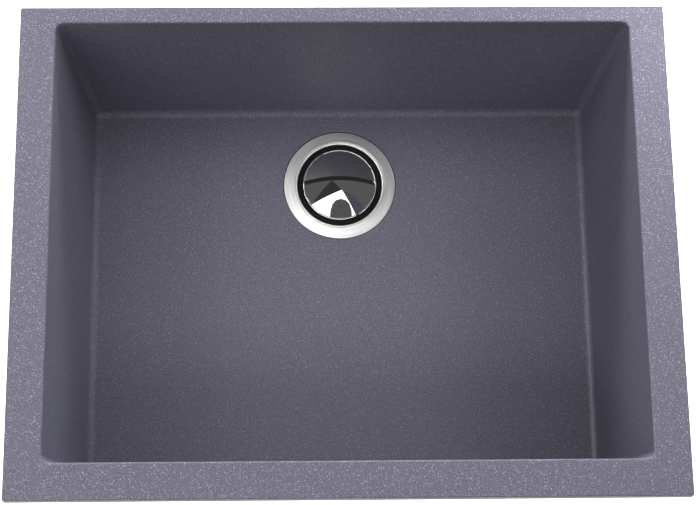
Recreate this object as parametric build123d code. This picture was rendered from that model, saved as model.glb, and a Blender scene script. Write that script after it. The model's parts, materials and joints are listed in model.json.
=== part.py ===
from build123d import *
import os

# Undermount kitchen sink: one cast composite bowl with a flat rim, hung under a worktop,
# and a 3.5 inch drain with a lift-out strainer basket and a pop-up stopper.
# Millimetres. Origin: centre of the rim's flat top face. +X to the right as the user
# stands at the sink, +Y to the wall behind it, +Z up. The bowl is below the origin.

# ---- bowl --------------------------------------------------------------------------
rim_length = 610.0          # left to right, outside
rim_width = 467.0           # front to back, outside
rim_side = 33.3             # flat rim left and right of the mouth
rim_back = 16.0             # flat rim behind the mouth
rim_front = 33.5            # flat rim in front of the mouth
rim_thickness = 12.0
rim_corner_radius = 1.5     # outer corners, seen from above
rim_edge_radius = 1.0       # top outer edge
rim_lower_edge_radius = 0.8
bowl_depth = 200.0          # rim face to floor, inside
side_draft = 20.0           # how far the left and right walls lean in at the floor
end_draft = 17.3            # the same for the front and back walls
wall = 9.0
floor_thickness = 11.0
inner_radius = 8.0          # wall to wall and wall to floor, inside
mouth_edge_radius = 2.0     # rounded lip where rim meets wall
rim_root_fillet = 2.5       # under the rim, where it meets the wall

# ---- drain hole --------------------------------------------------------------------
drain_back = 97.5           # drain centre to the back edge of the mouth
drain_hole_clearance = 1.8  # cup to hole, on the radius: 90 mm is the standard hole
recess_depth = 2.5          # step in the floor that the flange lies in
recess_clearance = 0.8
drain_boss_margin = 6.0     # flat bearing ring under the floor, past the washers
drain_boss_height = 3.0

# ---- rim inserts, screws and hanger clips -------------------------------------------
side_clips = 3              # on each of the left and right rims
side_clip_inset = 83.5      # rim's end to the nearest screw
front_clips = 2
front_clip_inset = 155.0
insert_pad_radius = 8.0
insert_pad_height = 3.0
insert_radius = 4.5
insert_length = 10.0
screw_radius = 3.0          # M6
screw_length = 14.0         # under the head
screw_head_flats = 10.0
screw_head_height = 4.0
thread_gap = 0.05
clip_width = 20.0
clip_thickness = 3.0
clip_reach = 52.0           # screw to the far end
clip_slot_length = 24.0     # end to end
clip_slot_width = 7.0
clip_slot_margin = 6.0      # slot end to the far end
clip_corner_radius = 4.0
clip_wall_gap = 1.0         # clip folded in, to the bowl's wall
clip_play = 0.15            # above and below the clip
clip_bore_clearance = 0.1   # on the radius
clip_washer_radius = 7.5
clip_washer_thickness = 1.6

# ---- strainer body -----------------------------------------------------------------
flange_width = 10.55        # crest to the outside edge, for a 4.5 inch flange
flange_edge = 1.2           # thickness at the outside
flange_rise = 1.8           # crown, from the outside edge to the crest
lip_width = 2.9             # where the lip turns down, to the crest
lip_drop = 2.4              # crest to the top of the conical seat
seat_flare = 2.2            # the seat is this much wider at its top
seat_bottom_radius = 41.5   # also the bore of the cup
seat_height = 3.6
cup_wall = 1.7
cup_depth = 48.0            # floor of the bowl to the floor of the cup
cup_floor = 3.0
cup_round = 5.0             # outside bottom edge of the cup
outlet_bore_radius = 22.0
outlet_wall = 2.0
outlet_length = 21.0
spider_hub_radius = 11.0
spider_hole_radius = 6.5
spider_arms = 4
spider_arm_width = 5.0

# ---- seals and nuts under the floor --------------------------------------------------
flange_gasket_thickness = 1.0
flange_gasket_inset = 1.5   # gasket edge to flange edge
sealing_washer_thickness = 3.0
friction_washer_thickness = 1.2
washer_width = 16.8         # cup to the washers' edge
washer_bore_gap = 0.4
lock_nut_width = 10.8       # cup to the nut's edge, between lugs
lock_nut_height = 9.0
lock_nut_lugs = 6
lock_nut_lug_length = 4.0
lock_nut_lug_width = 12.0
tail_radius = 19.05         # 1.5 inch tailpiece
tail_wall = 1.0
tail_length = 101.6         # 4 inches, flange to free end
tail_flange_radius = 23.4
tail_flange_thickness = 1.5
tail_neck_step = 0.3        # the flanged end is left this much fatter
tail_neck_below_nut = 2.0
tail_washer_thickness = 2.0
slip_nut_flats = 58.0
slip_nut_grip = 10.0        # engaged thread on the outlet
slip_nut_shoulder = 3.5
slip_nut_wall_gap = 0.25    # shoulder to tailpiece

# ---- strainer basket -----------------------------------------------------------------
basket_rim_gap = 1.2        # basket's top to the bore of the cup
basket_taper = 3.8          # top radius to floor radius
basket_height = 33.0
basket_sheet = 1.0
basket_rings = 4            # rings of holes in the floor
basket_outer_holes = 26
basket_fewer_holes = 6      # each ring has this many fewer than the one outside it
basket_hole_inset = 3.5     # edge of the floor to the outer ring
basket_hole_start = 6.0     # post to the inner ring
basket_hole_radius = 2.0
basket_slots = 24
basket_slot_width = 3.0
basket_slot_height = 12.0
basket_slot_foot = 9.0      # basket floor to the bottom of the slots
seat_gap = 0.3              # between pieces that move apart
post_radius = 8.0
post_bore_radius = 6.6
post_floor = 4.7
stud_radius = 3.0
grommet_flange_radius = 9.0
grommet_flange_thickness = 2.0
grommet_neck_radius = 6.2
grommet_neck_below = 1.2    # neck past the underside of the spider
post_washer_radius = 6.0
post_washer_thickness = 1.0
post_nut_flats = 10.0
post_nut_height = 5.0
stud_past_nut = 1.8
bush_flange = 1.2
bush_length = 6.5
o_ring_section = 0.75       # radius of the ring's section
o_ring_groove_depth = 1.6
slide_clearance = 0.05      # stem in its bush, on the radius

# ---- pop-up stopper --------------------------------------------------------------------
stopper_travel = 10.0
cap_inset = 3.7             # cap to the bore of the cup
cap_rise = 6.3              # dome height over its edge
cap_sheet = 1.0
cap_skirt = 1.8             # turned-down edge
cap_edge_above_floor = 1.4
cap_boss_radius = 7.0
seal_thickness = 3.0
seal_overlap = 7.8          # seal under the cap
seal_bead_offset = 2.5      # small raised ring on the seal, outside the cap
seal_bead = 0.5
plate_inset = 2.8           # plate's edge, inside the cap's
plate_thickness = 1.6
stem_radius = 4.0
stem_socket = 4.0           # stem up inside the boss
stem_nut_flats = 13.0
stem_nut_height = 4.0
stop_ring_radius = 6.2
stop_ring_thickness = 1.5
stop_ring_foot = 1.5        # ring to the stem's lower end

level_band = 0.01           # how near an edge lies to a level to belong to it

# ---- places that follow from the sizes ---------------------------------------------------
mouth_length = rim_length - 2 * rim_side
mouth_width = rim_width - rim_back - rim_front
mouth_y = (rim_front - rim_back) / 2
drain_y = rim_width / 2 - rim_back - drain_back
floor_z = -bowl_depth
under_z = floor_z - floor_thickness
boss_z = under_z - drain_boss_height
pad_z = -rim_thickness - insert_pad_height
clip_top_z = pad_z - clip_play
clip_low_z = clip_top_z - clip_thickness
clip_washer_z = clip_low_z - clip_play
screw_head_z = clip_washer_z - clip_washer_thickness

flange_low_z = floor_z - recess_depth + flange_gasket_thickness
crest_z = flange_low_z + flange_edge + flange_rise
seat_top_z = crest_z - lip_drop
seat_low_z = seat_top_z - seat_height
lip_radius = seat_bottom_radius + seat_flare
crest_radius = lip_radius + lip_width
flange_radius = crest_radius + flange_width
cup_outer_radius = seat_bottom_radius + cup_wall
drain_hole_radius = cup_outer_radius + drain_hole_clearance
washer_radius = cup_outer_radius + washer_width
lock_nut_radius = cup_outer_radius + lock_nut_width
drain_boss_radius = washer_radius + drain_boss_margin
spider_z = floor_z - cup_depth
spider_low_z = spider_z - cup_floor
outlet_z = spider_low_z - outlet_length
lock_nut_z = boss_z - sealing_washer_thickness - friction_washer_thickness
tail_flange_z = outlet_z - tail_washer_thickness
tail_tube_z = tail_flange_z - tail_flange_thickness
slip_nut_low_z = tail_tube_z - slip_nut_shoulder
tail_neck_z = slip_nut_low_z - tail_neck_below_nut
tail_neck_radius = tail_radius + tail_neck_step

basket_top_radius = seat_bottom_radius - basket_rim_gap
basket_floor_radius = basket_top_radius - basket_taper
basket_low_z = spider_z + seat_gap + grommet_flange_thickness
basket_floor_z = basket_low_z + basket_sheet
grommet_low_z = spider_low_z - grommet_neck_below
post_nut_z = grommet_low_z - post_washer_thickness

cap_radius = seat_bottom_radius - cap_inset
plate_radius = cap_radius - plate_inset
seal_inner_radius = cap_radius - seal_overlap
seal_bead_radius = cap_radius + seal_bead_offset
cap_edge_z = floor_z + cap_edge_above_floor
seal_top_z = cap_edge_z - cap_skirt
plate_z = seal_top_z - seal_thickness
stem_nut_z = plate_z - plate_thickness
stem_top_z = plate_z + stem_socket
bush_top_z = stem_nut_z - stem_nut_height - seat_gap
post_top_z = bush_top_z - bush_flange
bush_low_z = post_top_z - bush_length
stop_ring_z = bush_low_z - stopper_travel - seat_gap - stop_ring_thickness
stem_low_z = stop_ring_z - stop_ring_foot

drain = Pos(0, drain_y, 0)


def turned(*points):
    """Solid of revolution about the Z axis, from (radius, height) corners."""
    outline = Polyline(*[(radius, 0, height) for radius, height in points], close=True)
    return revolve(make_face(outline), Axis.Z)


def ring(inner, outer, low, high):
    return turned((inner, low), (outer, low), (outer, high), (inner, high))


def rod(radius, low, high):
    return Pos(0, 0, (low + high) / 2) * Cylinder(radius, high - low)


def hex_prism(flats, low, high):
    outline = RegularPolygon(flats / 2, 6, major_radius=False)
    return extrude(Pos(0, 0, low) * outline, high - low)


def group(solids):
    return Compound([piece.solid() for piece in solids])


# ---- bowl ------------------------------------------------------------------------------
def half_size(mouth_size, draft, height, grow=0.0):
    """Half of the hollow's length or width at a height: the walls lean in to the floor."""
    return mouth_size / 2 + draft * height / bowl_depth + grow


def leaning_block(low, grow, radius):
    """Block with leaning flat sides, from the rim's face down, rounded everywhere below."""
    top_x = half_size(mouth_length, side_draft, 0, grow)
    low_x = half_size(mouth_length, side_draft, low, grow)
    top_y = half_size(mouth_width, end_draft, 0, grow)
    low_y = half_size(mouth_width, end_draft, low, grow)
    from_front = Polyline((-top_x, 0, 0), (top_x, 0, 0), (low_x, 0, low), (-low_x, 0, low), close=True)
    from_side = Polyline((0, -top_y, 0), (0, top_y, 0), (0, low_y, low), (0, -low_y, low), close=True)
    block = extrude(make_face(from_front), rim_width, both=True)
    block &= extrude(make_face(from_side), rim_length, both=True)
    rounded = block.edges().group_by(Axis.Z)[:-1]
    return Pos(0, mouth_y, 0) * fillet([edge for level in rounded for edge in level], radius)


def rim_slab():
    slab = Pos(0, 0, -rim_thickness / 2) * Box(rim_length, rim_width, rim_thickness)
    slab = fillet(slab.edges().filter_by(Axis.Z), rim_corner_radius)
    slab = fillet(slab.edges().group_by(Axis.Z)[-1], rim_edge_radius)
    return fillet(slab.edges().group_by(Axis.Z)[0], rim_lower_edge_radius)


def under_rim_edges(body):
    """The loop where the underside of the rim meets the walls."""
    low = -rim_thickness
    level = body.edges().filter_by_position(Axis.Z, low - level_band, low + level_band)
    inside_x = half_size(mouth_length, side_draft, low, wall) + level_band
    inside_y = half_size(mouth_width, end_draft, low, wall) + level_band
    return level.filter_by(lambda e: abs(e.center().X) < inside_x
                           and abs(e.center().Y - mouth_y) < inside_y)


def mouth_edges(body):
    level = body.edges().filter_by_position(Axis.Z, -level_band, level_band)
    return level.filter_by(lambda e: abs(e.center().X) < mouth_length / 2 + level_band
                           and abs(e.center().Y - mouth_y) < mouth_width / 2 + level_band)


def spread(count, inset, length):
    """Places along a rim, centred, with the outer ones this far from its ends."""
    span = length - 2 * inset
    return [span * (index / (count - 1) - 0.5) for index in range(count)]


def clip_stations():
    """(name, x, y, outward angle, hand) of each clip's screw.

    A clip lies folded in along its rim, 90 degrees times its hand from the outward
    angle. Left and right are mirror images, with the same strap turned over.
    """
    offset = clip_width / 2 + clip_wall_gap
    side_x = half_size(mouth_length, side_draft, clip_top_z, wall) + offset
    front_y = mouth_y - half_size(mouth_width, end_draft, clip_top_z, wall) - offset
    stations = []
    for number, y in enumerate(spread(side_clips, side_clip_inset, rim_width), 1):
        stations.append((f"clip_right_{number}", side_x, y, 0, 1))
        stations.append((f"clip_left_{number}", -side_x, y, 180, -1))
    for number, x in enumerate(spread(front_clips, front_clip_inset, rim_length), 1):
        stations.append((f"clip_front_{number}", x, front_y, 270, 1 if x > 0 else -1))
    return stations


def bowl():
    body = rim_slab() + leaning_block(under_z, wall, inner_radius + wall)
    body = fillet(under_rim_edges(body), rim_root_fillet)
    body += drain * rod(drain_boss_radius, boss_z, under_z)
    for _, x, y, _, _ in clip_stations():
        body += Pos(x, y, 0) * rod(insert_pad_radius, pad_z, -rim_thickness)
        body -= Pos(x, y, 0) * rod(insert_radius, pad_z, pad_z + insert_length)
    body -= leaning_block(floor_z, 0, inner_radius)
    body = fillet(mouth_edges(body), mouth_edge_radius)
    recess_radius = flange_radius + recess_clearance
    body -= drain * rod(recess_radius, floor_z - recess_depth, floor_z)
    body -= drain * rod(drain_hole_radius, boss_z, floor_z)
    return body


# ---- rim inserts, screws and clips ---------------------------------------------------------
def rim_insert():
    return ring(screw_radius + thread_gap, insert_radius, pad_z, pad_z + insert_length)


def clip_screw():
    head_low = screw_head_z - screw_head_height
    return hex_prism(screw_head_flats, head_low, screw_head_z) + rod(
        screw_radius, screw_head_z, screw_head_z + screw_length)


def clip_washer():
    bore = screw_radius + thread_gap
    return ring(bore, clip_washer_radius, screw_head_z, screw_head_z + clip_washer_thickness)


def clip():
    """Hanger strap along +X from its screw, with a slot for the worktop's stud.

    Its heel is round on the side that sweeps past the wall and square on the other,
    so it swings from along the rim to square to it and stops on the wall there.
    """
    half = clip_width / 2
    outline = Polyline((0, -half), (-half, -half), (-half, 0)) + RadiusArc((-half, 0), (0, half), half)
    outline += Polyline((0, half), (clip_reach, half), (clip_reach, -half), (0, -half))
    strap = extrude(make_face(outline.edges()), clip_thickness)
    strap = fillet(strap.edges().filter_by(Axis.Z).group_by(Axis.X)[-1], clip_corner_radius)
    slot_x = clip_reach - clip_slot_margin - clip_slot_length / 2
    slot = Pos(slot_x, 0, 0) * SlotOverall(clip_slot_length, clip_slot_width)
    strap -= extrude(slot, clip_thickness)
    return strap - rod(screw_radius + clip_bore_clearance, 0, clip_thickness)


def placed_clip(x, y, outward, hand):
    strap = clip() if hand > 0 else mirror(clip(), Plane.XZ)
    return Pos(x, y, clip_low_z) * Rot(0, 0, outward + 90 * hand) * strap


# ---- strainer body -----------------------------------------------------------------------------
def seat_radius(height):
    """Radius of the conical seat that the stopper's seal closes on."""
    share = (seat_top_z - height) / seat_height
    return lip_radius + share * (seat_bottom_radius - lip_radius)


def strainer_body():
    seat_outer = seat_low_z - cup_wall
    shell = turned(
        (flange_radius, flange_low_z), (flange_radius, flange_low_z + flange_edge),
        (crest_radius, crest_z), (lip_radius + cup_wall / 2, crest_z),
        (lip_radius, seat_top_z), (seat_bottom_radius, seat_low_z),
        (seat_bottom_radius, spider_z), (outlet_bore_radius, spider_z),
        (outlet_bore_radius, outlet_z), (outlet_bore_radius + outlet_wall, outlet_z),
        (outlet_bore_radius + outlet_wall, spider_low_z),
        (cup_outer_radius - cup_round, spider_low_z),
        (cup_outer_radius, spider_low_z + cup_round), (cup_outer_radius, seat_outer),
        (lip_radius + cup_wall, flange_low_z))
    shell += rod(spider_hub_radius, spider_low_z, spider_z)
    arm_z = (spider_z + spider_low_z) / 2
    for index in range(spider_arms // 2):
        arm = Box(2 * outlet_bore_radius + outlet_wall, spider_arm_width, cup_floor)
        shell += Rot(0, 0, 360 / spider_arms * index) * Pos(0, 0, arm_z) * arm
    return drain * (shell - rod(spider_hole_radius, spider_low_z, spider_z))


def flange_gasket():
    inner = lip_radius + cup_wall + washer_bore_gap
    outer = flange_radius - flange_gasket_inset
    return drain * ring(inner, outer, flange_low_z - flange_gasket_thickness, flange_low_z)


def sealing_washer():
    inner = cup_outer_radius + washer_bore_gap
    return drain * ring(inner, washer_radius, boss_z - sealing_washer_thickness, boss_z)


def friction_washer():
    inner = cup_outer_radius + washer_bore_gap
    top = boss_z - sealing_washer_thickness
    return drain * ring(inner, washer_radius, top - friction_washer_thickness, top)


def lock_nut():
    inner = cup_outer_radius + thread_gap
    low = lock_nut_z - lock_nut_height
    nut = rod(lock_nut_radius, low, lock_nut_z)
    reach = lock_nut_radius + lock_nut_lug_length
    lug = Box(reach, lock_nut_lug_width, lock_nut_height)
    for index in range(lock_nut_lugs):
        turn = Rot(0, 0, 360 / lock_nut_lugs * index)
        nut += turn * Pos(reach / 2, 0, lock_nut_z - lock_nut_height / 2) * lug
    return drain * (nut - rod(inner, low, lock_nut_z))


def tailpiece_washer():
    inner = tail_radius - tail_wall
    return drain * ring(inner, tail_flange_radius, tail_flange_z, outlet_z)


def tailpiece():
    inner = tail_radius - tail_wall
    end = tail_flange_z - tail_length
    return drain * turned(
        (inner, end), (tail_radius, end),
        (tail_radius, tail_neck_z - tail_neck_step), (tail_neck_radius, tail_neck_z),
        (tail_neck_radius, tail_tube_z), (tail_flange_radius, tail_tube_z),
        (tail_flange_radius, tail_flange_z), (inner, tail_flange_z))


def slip_nut():
    high = outlet_z + slip_nut_grip
    body = hex_prism(slip_nut_flats, slip_nut_low_z, high)
    body -= rod(outlet_bore_radius + outlet_wall + thread_gap, tail_tube_z, high)
    return drain * (body - rod(tail_neck_radius + slip_nut_wall_gap, slip_nut_low_z, high))


# ---- strainer basket -------------------------------------------------------------------------------
def basket_holes():
    """The floor's rings of holes, evenly spaced from the post out to the edge."""
    outer = basket_floor_radius - basket_hole_inset
    inner = post_radius + basket_hole_start
    sketch = Sketch()
    for index in range(basket_rings):
        radius = outer - (outer - inner) * index / (basket_rings - 1)
        count = basket_outer_holes - index * basket_fewer_holes
        sketch += [spot * Circle(basket_hole_radius) for spot in PolarLocations(radius, count)]
    return sketch


def strainer_basket():
    top = basket_low_z + basket_height
    cup = turned(
        (stud_radius + thread_gap, basket_low_z), (basket_floor_radius, basket_low_z),
        (basket_top_radius, top), (basket_top_radius - basket_sheet, top),
        (basket_floor_radius - basket_sheet, basket_floor_z),
        (stud_radius + thread_gap, basket_floor_z))
    cup -= extrude(Pos(0, 0, basket_low_z) * basket_holes(), basket_sheet)
    depth = basket_taper + 4 * basket_sheet
    slots = Sketch() + [spot * Rectangle(depth, basket_slot_width)
                        for spot in PolarLocations(basket_floor_radius, basket_slots)]
    slots_low = Pos(0, 0, basket_floor_z + basket_slot_foot)
    return drain * (cup - extrude(slots_low * slots, basket_slot_height))


def basket_post():
    low = post_nut_z - post_nut_height - stud_past_nut
    post = rod(post_radius, basket_floor_z, post_top_z)
    post -= rod(post_bore_radius, basket_floor_z + post_floor, post_top_z)
    return drain * (post + rod(stud_radius, low, basket_floor_z))


def guide_bush():
    groove_z = (bush_top_z + bush_low_z) / 2
    bore = stem_radius + slide_clearance
    bush = rod(post_radius, post_top_z, bush_top_z)
    bush += rod(post_bore_radius, bush_low_z, post_top_z)
    bush -= rod(bore, bush_low_z, bush_top_z)
    groove = rod(bore + o_ring_groove_depth, groove_z - o_ring_section, groove_z + o_ring_section)
    return drain * (bush - groove)


def stem_o_ring():
    middle = stem_radius + slide_clearance + o_ring_section
    groove_z = (bush_top_z + bush_low_z) / 2
    return drain * Pos(0, 0, groove_z) * Torus(middle, o_ring_section)


def post_grommet():
    bore = stud_radius + thread_gap
    flange_top = basket_low_z
    flange_low = flange_top - grommet_flange_thickness
    return drain * turned(
        (bore, grommet_low_z), (grommet_neck_radius, grommet_low_z),
        (grommet_neck_radius, flange_low), (grommet_flange_radius, flange_low),
        (grommet_flange_radius, flange_top), (bore, flange_top))


def post_washer():
    bore = stud_radius + thread_gap
    return drain * ring(bore, post_washer_radius, post_nut_z, grommet_low_z)


def post_nut():
    nut = hex_prism(post_nut_flats, post_nut_z - post_nut_height, post_nut_z)
    return drain * (nut - rod(stud_radius + thread_gap, post_nut_z - post_nut_height, post_nut_z))


# ---- stopper -----------------------------------------------------------------------------------------
def domed_disc(radius, low, edge):
    """Solid disc with a flat underside, whose spherical top starts at its edge."""
    sphere_radius = (radius ** 2 + cap_rise ** 2) / (2 * cap_rise)
    top = edge + cap_rise
    half_way = top - sphere_radius + (sphere_radius ** 2 - (radius / 2) ** 2) ** 0.5
    crown = ThreePointArc((radius, 0, edge), (radius / 2, 0, half_way), (0, 0, top))
    sides = Polyline((0, 0, top), (0, 0, low), (radius, 0, low), (radius, 0, edge))
    return revolve(make_face([sides, crown]), Axis.Z)


def stopper_cap():
    cap = domed_disc(cap_radius, seal_top_z, cap_edge_z)
    hollow = domed_disc(cap_radius - cap_sheet, seal_top_z, cap_edge_z - cap_sheet)
    boss = domed_disc(cap_radius, plate_z, cap_edge_z)
    boss &= rod(cap_boss_radius, plate_z, cap_edge_z + cap_rise)
    socket = rod(stem_radius + thread_gap, plate_z, stem_top_z)
    return drain * (cap - hollow + boss - socket)


def stopper_seal():
    outer_top = seat_radius(seal_top_z) - seat_gap
    outer_low = seat_radius(plate_z) - seat_gap
    flat = turned(
        (seal_inner_radius, plate_z), (outer_low, plate_z),
        (outer_top, seal_top_z), (seal_inner_radius, seal_top_z))
    return drain * (flat + Pos(0, 0, seal_top_z) * Torus(seal_bead_radius, seal_bead))


def stopper_plate():
    return drain * ring(stem_radius + thread_gap, plate_radius, stem_nut_z, plate_z)


def stopper_stem():
    return drain * rod(stem_radius, stem_low_z, stem_top_z)


def stem_nut():
    nut = hex_prism(stem_nut_flats, stem_nut_z - stem_nut_height, stem_nut_z)
    return drain * (nut - rod(stem_radius + thread_gap, stem_nut_z - stem_nut_height, stem_nut_z))


def stem_stop_ring():
    """Ring that meets the bush when the stopper is fully up."""
    return drain * ring(stem_radius, stop_ring_radius, stop_ring_z, stop_ring_z + stop_ring_thickness)


def pieces():
    """Each named piece of the sink."""
    stations = clip_stations()
    spots = [Pos(x, y, 0) for _, x, y, _, _ in stations]
    made = {
        "bowl": bowl(),
        "rim_inserts": group(spot * rim_insert() for spot in spots),
        "clip_screws": group(spot * clip_screw() for spot in spots),
        "clip_washers": group(spot * clip_washer() for spot in spots),
    }
    for name, *place in stations:
        made[name] = placed_clip(*place)
    makers = (
        strainer_body, flange_gasket, sealing_washer, friction_washer, lock_nut,
        tailpiece_washer, tailpiece, slip_nut,
        strainer_basket, basket_post, guide_bush, stem_o_ring, post_grommet, post_washer, post_nut,
        stopper_cap, stopper_seal, stopper_plate, stopper_stem, stem_nut, stem_stop_ring)
    for maker in makers:
        made[maker.__name__] = maker()
    return made


os.makedirs("parts", exist_ok=True)
for node, shape in pieces().items():
    export_step(shape, f"parts/{node}.step")
    print(f"{node}: {shape.volume / 1000:.2f} cm3, {len(shape.solids())} solid(s)")
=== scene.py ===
"""An undermount kitchen sink in speckled composite, with its drain, basket and stopper.

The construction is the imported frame. This script gives each piece its finish, remodels the
pieces whose surfaces show, and sets up the studio and the camera. Everything is in metres,
in the frame's own axes: the origin is the centre of the rim's top face, with X to the
user's right, Y to the wall behind and Z up.
"""

import json
import logging
import math
from abc import ABC, abstractmethod
from collections.abc import Callable, Iterable, Mapping, Sequence
from dataclasses import dataclass
from enum import Enum
from typing import Any, Union

import bmesh
import bpy
from mathutils import Matrix, Vector


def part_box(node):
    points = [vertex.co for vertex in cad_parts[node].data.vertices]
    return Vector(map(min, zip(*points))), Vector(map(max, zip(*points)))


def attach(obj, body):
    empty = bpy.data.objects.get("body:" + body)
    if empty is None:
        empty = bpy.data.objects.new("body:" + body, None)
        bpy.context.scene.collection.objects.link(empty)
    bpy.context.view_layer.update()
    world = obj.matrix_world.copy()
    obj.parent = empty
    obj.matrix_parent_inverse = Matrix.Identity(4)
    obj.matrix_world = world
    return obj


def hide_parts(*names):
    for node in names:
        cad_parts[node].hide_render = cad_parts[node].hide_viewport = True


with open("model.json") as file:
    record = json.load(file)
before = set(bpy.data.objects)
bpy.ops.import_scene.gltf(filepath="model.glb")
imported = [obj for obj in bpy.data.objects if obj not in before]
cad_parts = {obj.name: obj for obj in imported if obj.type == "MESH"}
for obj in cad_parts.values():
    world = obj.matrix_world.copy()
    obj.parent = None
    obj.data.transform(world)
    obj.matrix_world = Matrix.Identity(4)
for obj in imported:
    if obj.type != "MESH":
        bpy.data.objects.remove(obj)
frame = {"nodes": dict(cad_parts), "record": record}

LOG = logging.getLogger("sink")
MM = 0.001
Colour = tuple[float, float, float]


# ---- shader arithmetic -------------------------------------------------------------------------
class Signal:
    """A number that changes over a surface, with arithmetic that adds its Math nodes."""

    def __init__(self, tree: "NodeTree", socket: bpy.types.NodeSocket) -> None:
        """Wrap an output socket.

        Args:
            tree: the node tree that the socket belongs to.
            socket: the output that carries the number.
        """
        self.tree = tree
        self.socket = socket

    def _math(self, operation: str, *terms: "Value") -> "Signal":
        """Add one Math node.

        Args:
            operation: the node's operation.
            terms: its inputs in order.

        Returns:
            The result.
        """
        node = self.tree.node("ShaderNodeMath", {"operation": operation}, dict(enumerate(terms)))
        return Signal(self.tree, node.outputs[0])

    def __add__(self, other: "Value") -> "Signal":
        """Sum."""
        return self._math("ADD", self, other)

    __radd__ = __add__

    def __sub__(self, other: "Value") -> "Signal":
        """Difference."""
        return self._math("SUBTRACT", self, other)

    def __rsub__(self, other: "Value") -> "Signal":
        """Difference, with this signal taken away."""
        return self._math("SUBTRACT", other, self)

    def __mul__(self, other: "Value") -> "Signal":
        """Product."""
        return self._math("MULTIPLY", self, other)

    __rmul__ = __mul__

    def above(self, limit: "Value") -> "Signal":
        """1 where this is above a limit, and 0 elsewhere."""
        return self._math("GREATER_THAN", self, limit)

    def below(self, limit: "Value") -> "Signal":
        """1 where this is below a limit, and 0 elsewhere."""
        return self._math("LESS_THAN", self, limit)

    def root(self) -> "Signal":
        """Square root."""
        return self._math("SQRT", self)

    def turn_to(self, across: "Signal") -> "Signal":
        """The angle of the point (across, this), in radians."""
        return self._math("ARCTAN2", self, across)


Value = Union[Signal, float, int]


class NodeTree:
    """A node tree, with the one method that adds its nodes."""

    def __init__(self, tree: bpy.types.NodeTree) -> None:
        """Take over a tree and empty it.

        Args:
            tree: the tree.
        """
        self.tree = tree
        self.tree.nodes.clear()

    def node(self, kind: str, settings: Mapping[str, Any] | None = None,
             values: Mapping[Any, Any] | None = None) -> bpy.types.Node:
        """Add a node.

        Args:
            kind: the node's type.
            settings: its own settings, such as an operation. "stops" holds a ramp's stops,
                each a position and a colour.
            values: numbers, colours, signals or sockets for its inputs, by name or index.

        Returns:
            The new node.
        """
        node = self.tree.nodes.new(kind)
        for name, setting in (settings or {}).items():
            if name == "stops":
                self._set_stops(node.color_ramp, setting)
            else:
                setattr(node, name, setting)
        for key, value in (values or {}).items():
            source = value.socket if isinstance(value, Signal) else value
            if isinstance(source, bpy.types.NodeSocket):
                self.tree.links.new(source, node.inputs[key])
            else:
                node.inputs[key].default_value = source
        return node

    @staticmethod
    def _set_stops(ramp: bpy.types.ColorRamp, stops: Sequence[tuple[float, Colour]]) -> None:
        """Give a ramp its stops.

        Args:
            ramp: the ramp to fill.
            stops: positions from 0 to 1, each with a colour.
        """
        while len(ramp.elements) < len(stops):
            ramp.elements.new(1.0)
        for element, (position, colour) in zip(ramp.elements, stops):
            element.position = position
            element.color = (*colour, 1.0)

    def axes(self, place: bpy.types.NodeSocket) -> tuple[Signal, ...]:
        """The three numbers of a vector."""
        parts = self.node("ShaderNodeSeparateXYZ", {}, {0: place})
        return tuple(Signal(self, socket) for socket in parts.outputs)

    def ramp(self, factor: Signal, stops: Sequence[tuple[float, float]]) -> Signal:
        """A number read off a ramp.

        Args:
            factor: where to read it, 0 to 1.
            stops: positions and numbers.

        Returns:
            The number there.
        """
        greys = [(position, (level, level, level)) for position, level in stops]
        node = self.node("ShaderNodeValToRGB", {"stops": greys}, {"Fac": factor})
        return Signal(self, node.outputs["Color"])


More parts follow.
